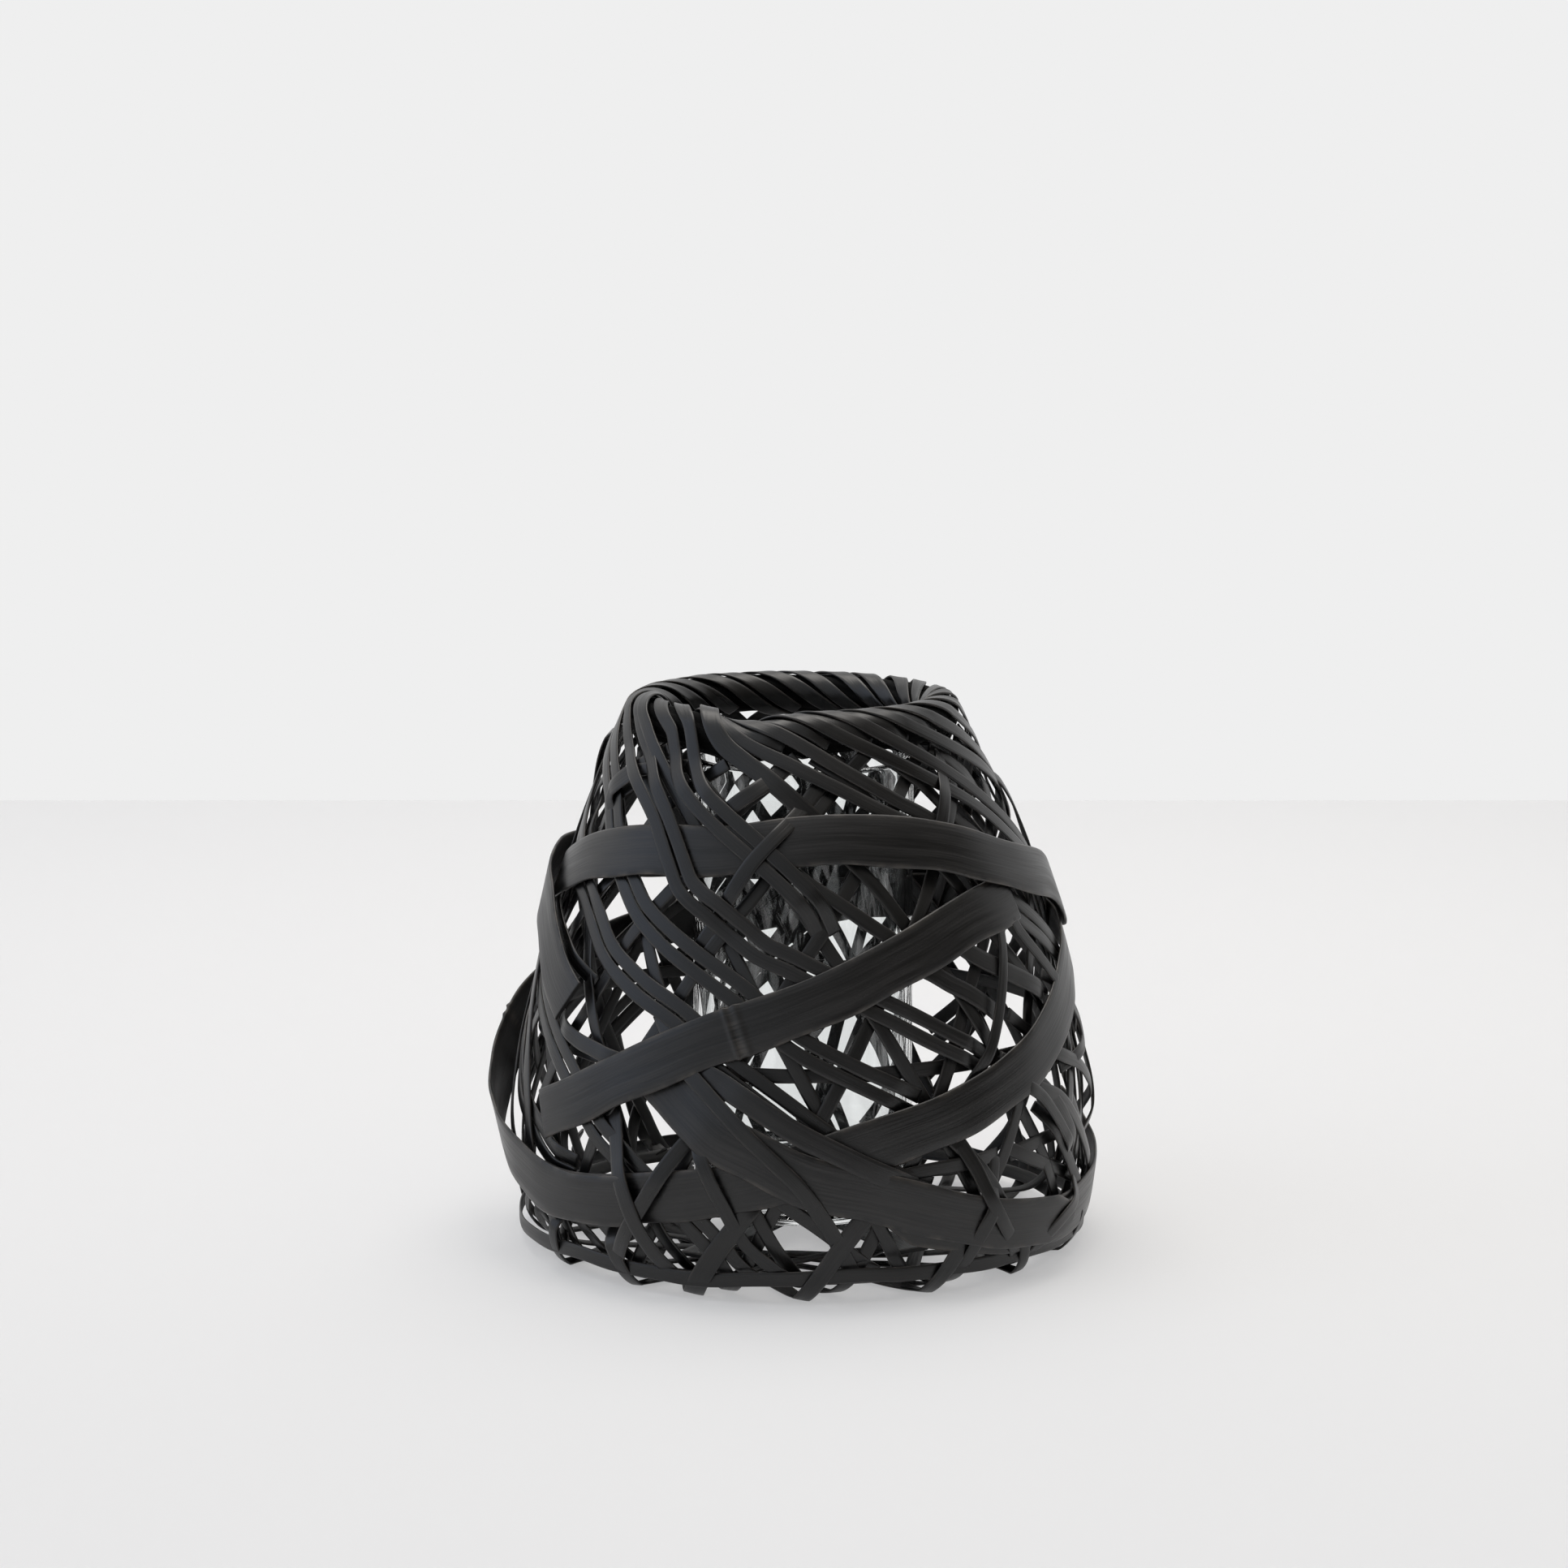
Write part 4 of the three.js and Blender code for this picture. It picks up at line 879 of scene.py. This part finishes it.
# The height of the inner wall's waves. Each is how many there are to a turn, where it starts in radians, and
# how many radians it drifts to a millimetre of height.
GLASS_WAVE = 0.004
GLASS_WAVES = ((5, 0.3, 0.01), (9, 2.1, -0.015), (17, 4.0, 0.02), (31, 1.2, -0.02))
glass_low, glass_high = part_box("water_tube")


def glass_tube(sides=192):
    """A profile of radius and height turned round the tube's middle, with arcs for the heel, the lip and the
    bowl inside. The inner wall's radius, from the lip's last ring to the bowl's third, is varied round the
    tube by a sum of cosines, each over the root of its count, whose phase drifts with the height."""
    radius = (glass_high.x - glass_low.x) / 2 * 1000
    height = (glass_high.z - glass_low.z) * 1000
    inside = radius - GLASS_WALL
    lip = GLASS_WALL / 2
    heel_turn = np.radians(np.linspace(-90, 0, 10))
    lip_turn = np.radians(np.linspace(0, 180, 13))
    bowl_turn = np.radians(np.linspace(0, -90, 14))
    up = np.linspace(0, 1, 40)[1:-1]
    hollow_r, hollow_z = zip(*GLASS_HOLLOW)
    parts_r = [hollow_r, radius - GLASS_HEEL + GLASS_HEEL * np.cos(heel_turn), np.full(len(up), radius),
               inside + lip + lip * np.cos(lip_turn), np.full(len(up), inside),
               inside - GLASS_BOWL + GLASS_BOWL * np.cos(bowl_turn), GLASS_FLOOR_RINGS]
    parts_z = [hollow_z, GLASS_HEEL + GLASS_HEEL * np.sin(heel_turn),
               GLASS_HEEL + (height - lip - GLASS_HEEL) * up, height - lip + lip * np.sin(lip_turn),
               height - lip - (height - lip - GLASS_FLOOR - GLASS_BOWL) * up,
               GLASS_FLOOR + GLASS_BOWL + GLASS_BOWL * np.sin(bowl_turn),
               np.full(len(GLASS_FLOOR_RINGS), GLASS_FLOOR)]
    r = np.concatenate(parts_r)[1:-1][:, None]
    z = np.concatenate(parts_z)[1:-1][:, None]
    start = sum(len(part) for part in parts_r[:4]) - 2
    wall = np.zeros_like(r)
    wall[start:start + 1 + len(up) + GLASS_WAVED_RINGS] = 1
    turn = np.linspace(0, 2 * np.pi, sides, endpoint=False)[None]
    wave = sum(np.cos(waves * turn + phase + z * drift) / waves**0.5 for waves, phase, drift in GLASS_WAVES)
    r = r + GLASS_WAVE * wave * wall
    vertices = np.stack([r * np.sin(turn), -r * np.cos(turn), z + 0 * turn], axis=-1).reshape(-1, 3)
    # The profile runs the other way round than a strip's section, so its faces are turned over.
    faces = np.array(ring_faces(len(z), sides, closed=False)[1])[:, [0, 3, 2, 1]].tolist()
    poles = np.array([[0, 0, hollow_z[0]], [0, 0, GLASS_FLOOR]])
    first, last = len(vertices), len(vertices) - sides
    under = [[first, (k + 1) % sides, k] for k in range(sides)]
    inner = [[first + 1, last + k, last + (k + 1) % sides] for k in range(sides)]
    middle = [(glass_low.x + glass_high.x) / 2, (glass_low.y + glass_high.y) / 2, glass_low.z]
    place = (np.array(middle) - AXIS) * 1000
    return smooth_mesh("water_glass", np.concatenate([vertices, poles]) + place, faces + under + inner)


clear_glass = bpy.data.materials.new("clear blown glass")
clear_glass.use_nodes = True
looks = {"Base Color": linear("#fbfdfd"), "Roughness": 0.0, "IOR": GLASS_IOR, "Transmission Weight": 1.0}
for key, value in looks.items():
    clear_glass.node_tree.nodes["Principled BSDF"].inputs[key].default_value = value
glass = glass_tube()
glass.data.materials.append(clear_glass)
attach(glass, "tube")
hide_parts("water_tube")

# The floor and the wall behind: a pale matt table and a pale wall, each one plain face. They meet in a line
# that hardly shows.
WALL_AT = 0.62
WALL_FOOT = -0.2
PANEL_REACH = 4.0


def flat_panel(name, low, high, colour, shown_as, seen):
    """One square face between two corners, of a diffuse colour. Where the camera, a gloss or a glass looks at
    it, a share of it glows in the second colour, so that it stays even and keeps the shadow. From behind the
    camera sees through it, so that the wall doesn't hide the basket's back."""
    mesh = bpy.data.meshes.new(name)
    mesh.from_pydata([low, (high[0], *low[1:]), high, (low[0], *high[1:])], [], [(0, 1, 2, 3)])
    material = bpy.data.materials.new(f"{name}, pale matt")
    material.use_nodes = True
    tree = material.node_tree
    tree.nodes.remove(tree.nodes["Principled BSDF"])
    matt = add(tree, "ShaderNodeBsdfDiffuse", {"Color": linear(colour)}).outputs[0]
    glow = add(tree, "ShaderNodeEmission", {"Color": linear(shown_as), "Strength": 1.0}).outputs[0]
    rays = add(tree, "ShaderNodeLightPath").outputs
    look = {0: rays["Is Camera Ray"], 1: rays["Is Glossy Ray"]}
    look = add(tree, "ShaderNodeMath", look, operation="MAXIMUM").outputs[0]
    look = {0: look, 1: rays["Is Transmission Ray"]}
    look = add(tree, "ShaderNodeMath", look, operation="MAXIMUM").outputs[0]
    share = add(tree, "ShaderNodeMath", {0: look, 1: seen}, operation="MULTIPLY").outputs[0]
    mixed = add(tree, "ShaderNodeMixShader", {0: share, 1: matt, 2: glow}).outputs[0]
    backface = add(tree, "ShaderNodeNewGeometry").outputs["Backfacing"]
    behind = {0: backface, 1: rays["Is Camera Ray"]}
    behind = add(tree, "ShaderNodeMath", behind, operation="MULTIPLY").outputs[0]
    through = add(tree, "ShaderNodeBsdfTransparent").outputs[0]
    mixed = add(tree, "ShaderNodeMixShader", {0: behind, 1: mixed, 2: through}).outputs[0]
    tree.links.new(mixed, tree.nodes["Material Output"].inputs["Surface"])
    mesh.materials.append(material)
    new_object(name, mesh)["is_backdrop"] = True


flat_panel("floor", (-PANEL_REACH, -PANEL_REACH, 0), (PANEL_REACH, PANEL_REACH, 0),
           "#e8e8e8", "#f0f0f1", seen=0.44)
flat_panel("wall", (-PANEL_REACH, WALL_AT, WALL_FOOT), (PANEL_REACH, WALL_AT, PANEL_REACH),
           "#efefef", "#efefef", seen=1.0)

# The light: daylight from all round, brightest from the upper left, cool at the left and warm at the right, a
# bluish window at the left and a stronger soft lamp above. The camera and the glass see a plain pale room.
BRIGHT_SIDE = (-0.66, 0.3, 0.7)
world = bpy.data.worlds.new("daylight")
bpy.context.scene.world = world
world.use_nodes = True
sky = world.node_tree
daylight = sky.nodes["Background"]
way = add(sky, "ShaderNodeTexCoord").outputs["Generated"]
facing = add(sky, "ShaderNodeVectorMath", {0: way, 1: BRIGHT_SIDE}, operation="DOT_PRODUCT").outputs["Value"]
across = add(sky, "ShaderNodeSeparateXYZ", {0: way}).outputs["X"]
warm = add(sky, "ShaderNodeMapRange", {"Value": across, "From Min": -0.7, "From Max": 0.7}).outputs[0]
tone = add(sky, "ShaderNodeMix", {"Factor": warm, "A": linear("#ecf1f8"), "B": linear("#f9f3ea")},
           data_type="RGBA").outputs["Result"]
bright = {"Value": facing, "From Min": -0.4, "From Max": 1.0, "To Min": 0.18, "To Max": 1.08}
bright = add(sky, "ShaderNodeMapRange", bright).outputs[0]
sky_rays = add(sky, "ShaderNodeLightPath").outputs
seen_sky = {0: sky_rays["Is Camera Ray"], 1: sky_rays["Is Transmission Ray"]}
seen_sky = add(sky, "ShaderNodeMath", seen_sky, operation="MAXIMUM").outputs[0]
plain = add(sky, "ShaderNodeBackground", {"Color": linear("#efefef"), "Strength": 1.0}).outputs[0]
shown = add(sky, "ShaderNodeMixShader", {0: seen_sky, 1: daylight.outputs[0], 2: plain}).outputs[0]
sky.links.new(tone, daylight.inputs["Color"])
sky.links.new(bright, daylight.inputs["Strength"])
sky.links.new(shown, sky.nodes["World Output"].inputs["Surface"])


def soft_lamp(name, place, target, size, power, colour):
    """A square lamp at a place, turned to face a target."""
    lamp = bpy.data.lights.new(name, "AREA")
    lamp.size = size
    lamp.energy = power
    lamp.color = linear(colour)[:3]
    holder = new_object(name, lamp)
    holder.location = place
    way = target - np.array(place)
    holder.rotation_euler = (np.arctan2(np.hypot(way[0], way[1]), -way[2]), 0, np.arctan2(-way[0], way[1]))


MIDDLE_HEIGHT = 0.065
basket_middle = AXIS + np.array([0, 0, MIDDLE_HEIGHT])
soft_lamp("window", (-1.3, -0.1, 0.6), basket_middle, size=1.2, power=1.3, colour="#a8c8ff")
soft_lamp("skylight", (0.03, 0.32, 1.05), basket_middle, size=0.9, power=8.0, colour="#fffaf4")

# The camera: a long lens in front of the basket and a little above it, nearly square to it, as in the
# photograph.
CAMERA_LEFT = 0.0042
CAMERA_AWAY = 0.960
CAMERA_HEIGHT = 0.260
CAMERA_TILT = 80.87
camera = new_object("camera", bpy.data.cameras.new("camera"))
camera.data.lens = 96.5
camera.data.sensor_width = 36.0
camera.data.clip_start = 0.05
camera.data.clip_end = 20.0
camera.location = (AXIS[0] - CAMERA_LEFT, AXIS[1] - CAMERA_AWAY, CAMERA_HEIGHT)
camera.rotation_euler = (np.radians(CAMERA_TILT), 0, 0)
bpy.context.scene.camera = camera
bpy.context.scene.view_settings.view_transform = "Standard"

low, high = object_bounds()
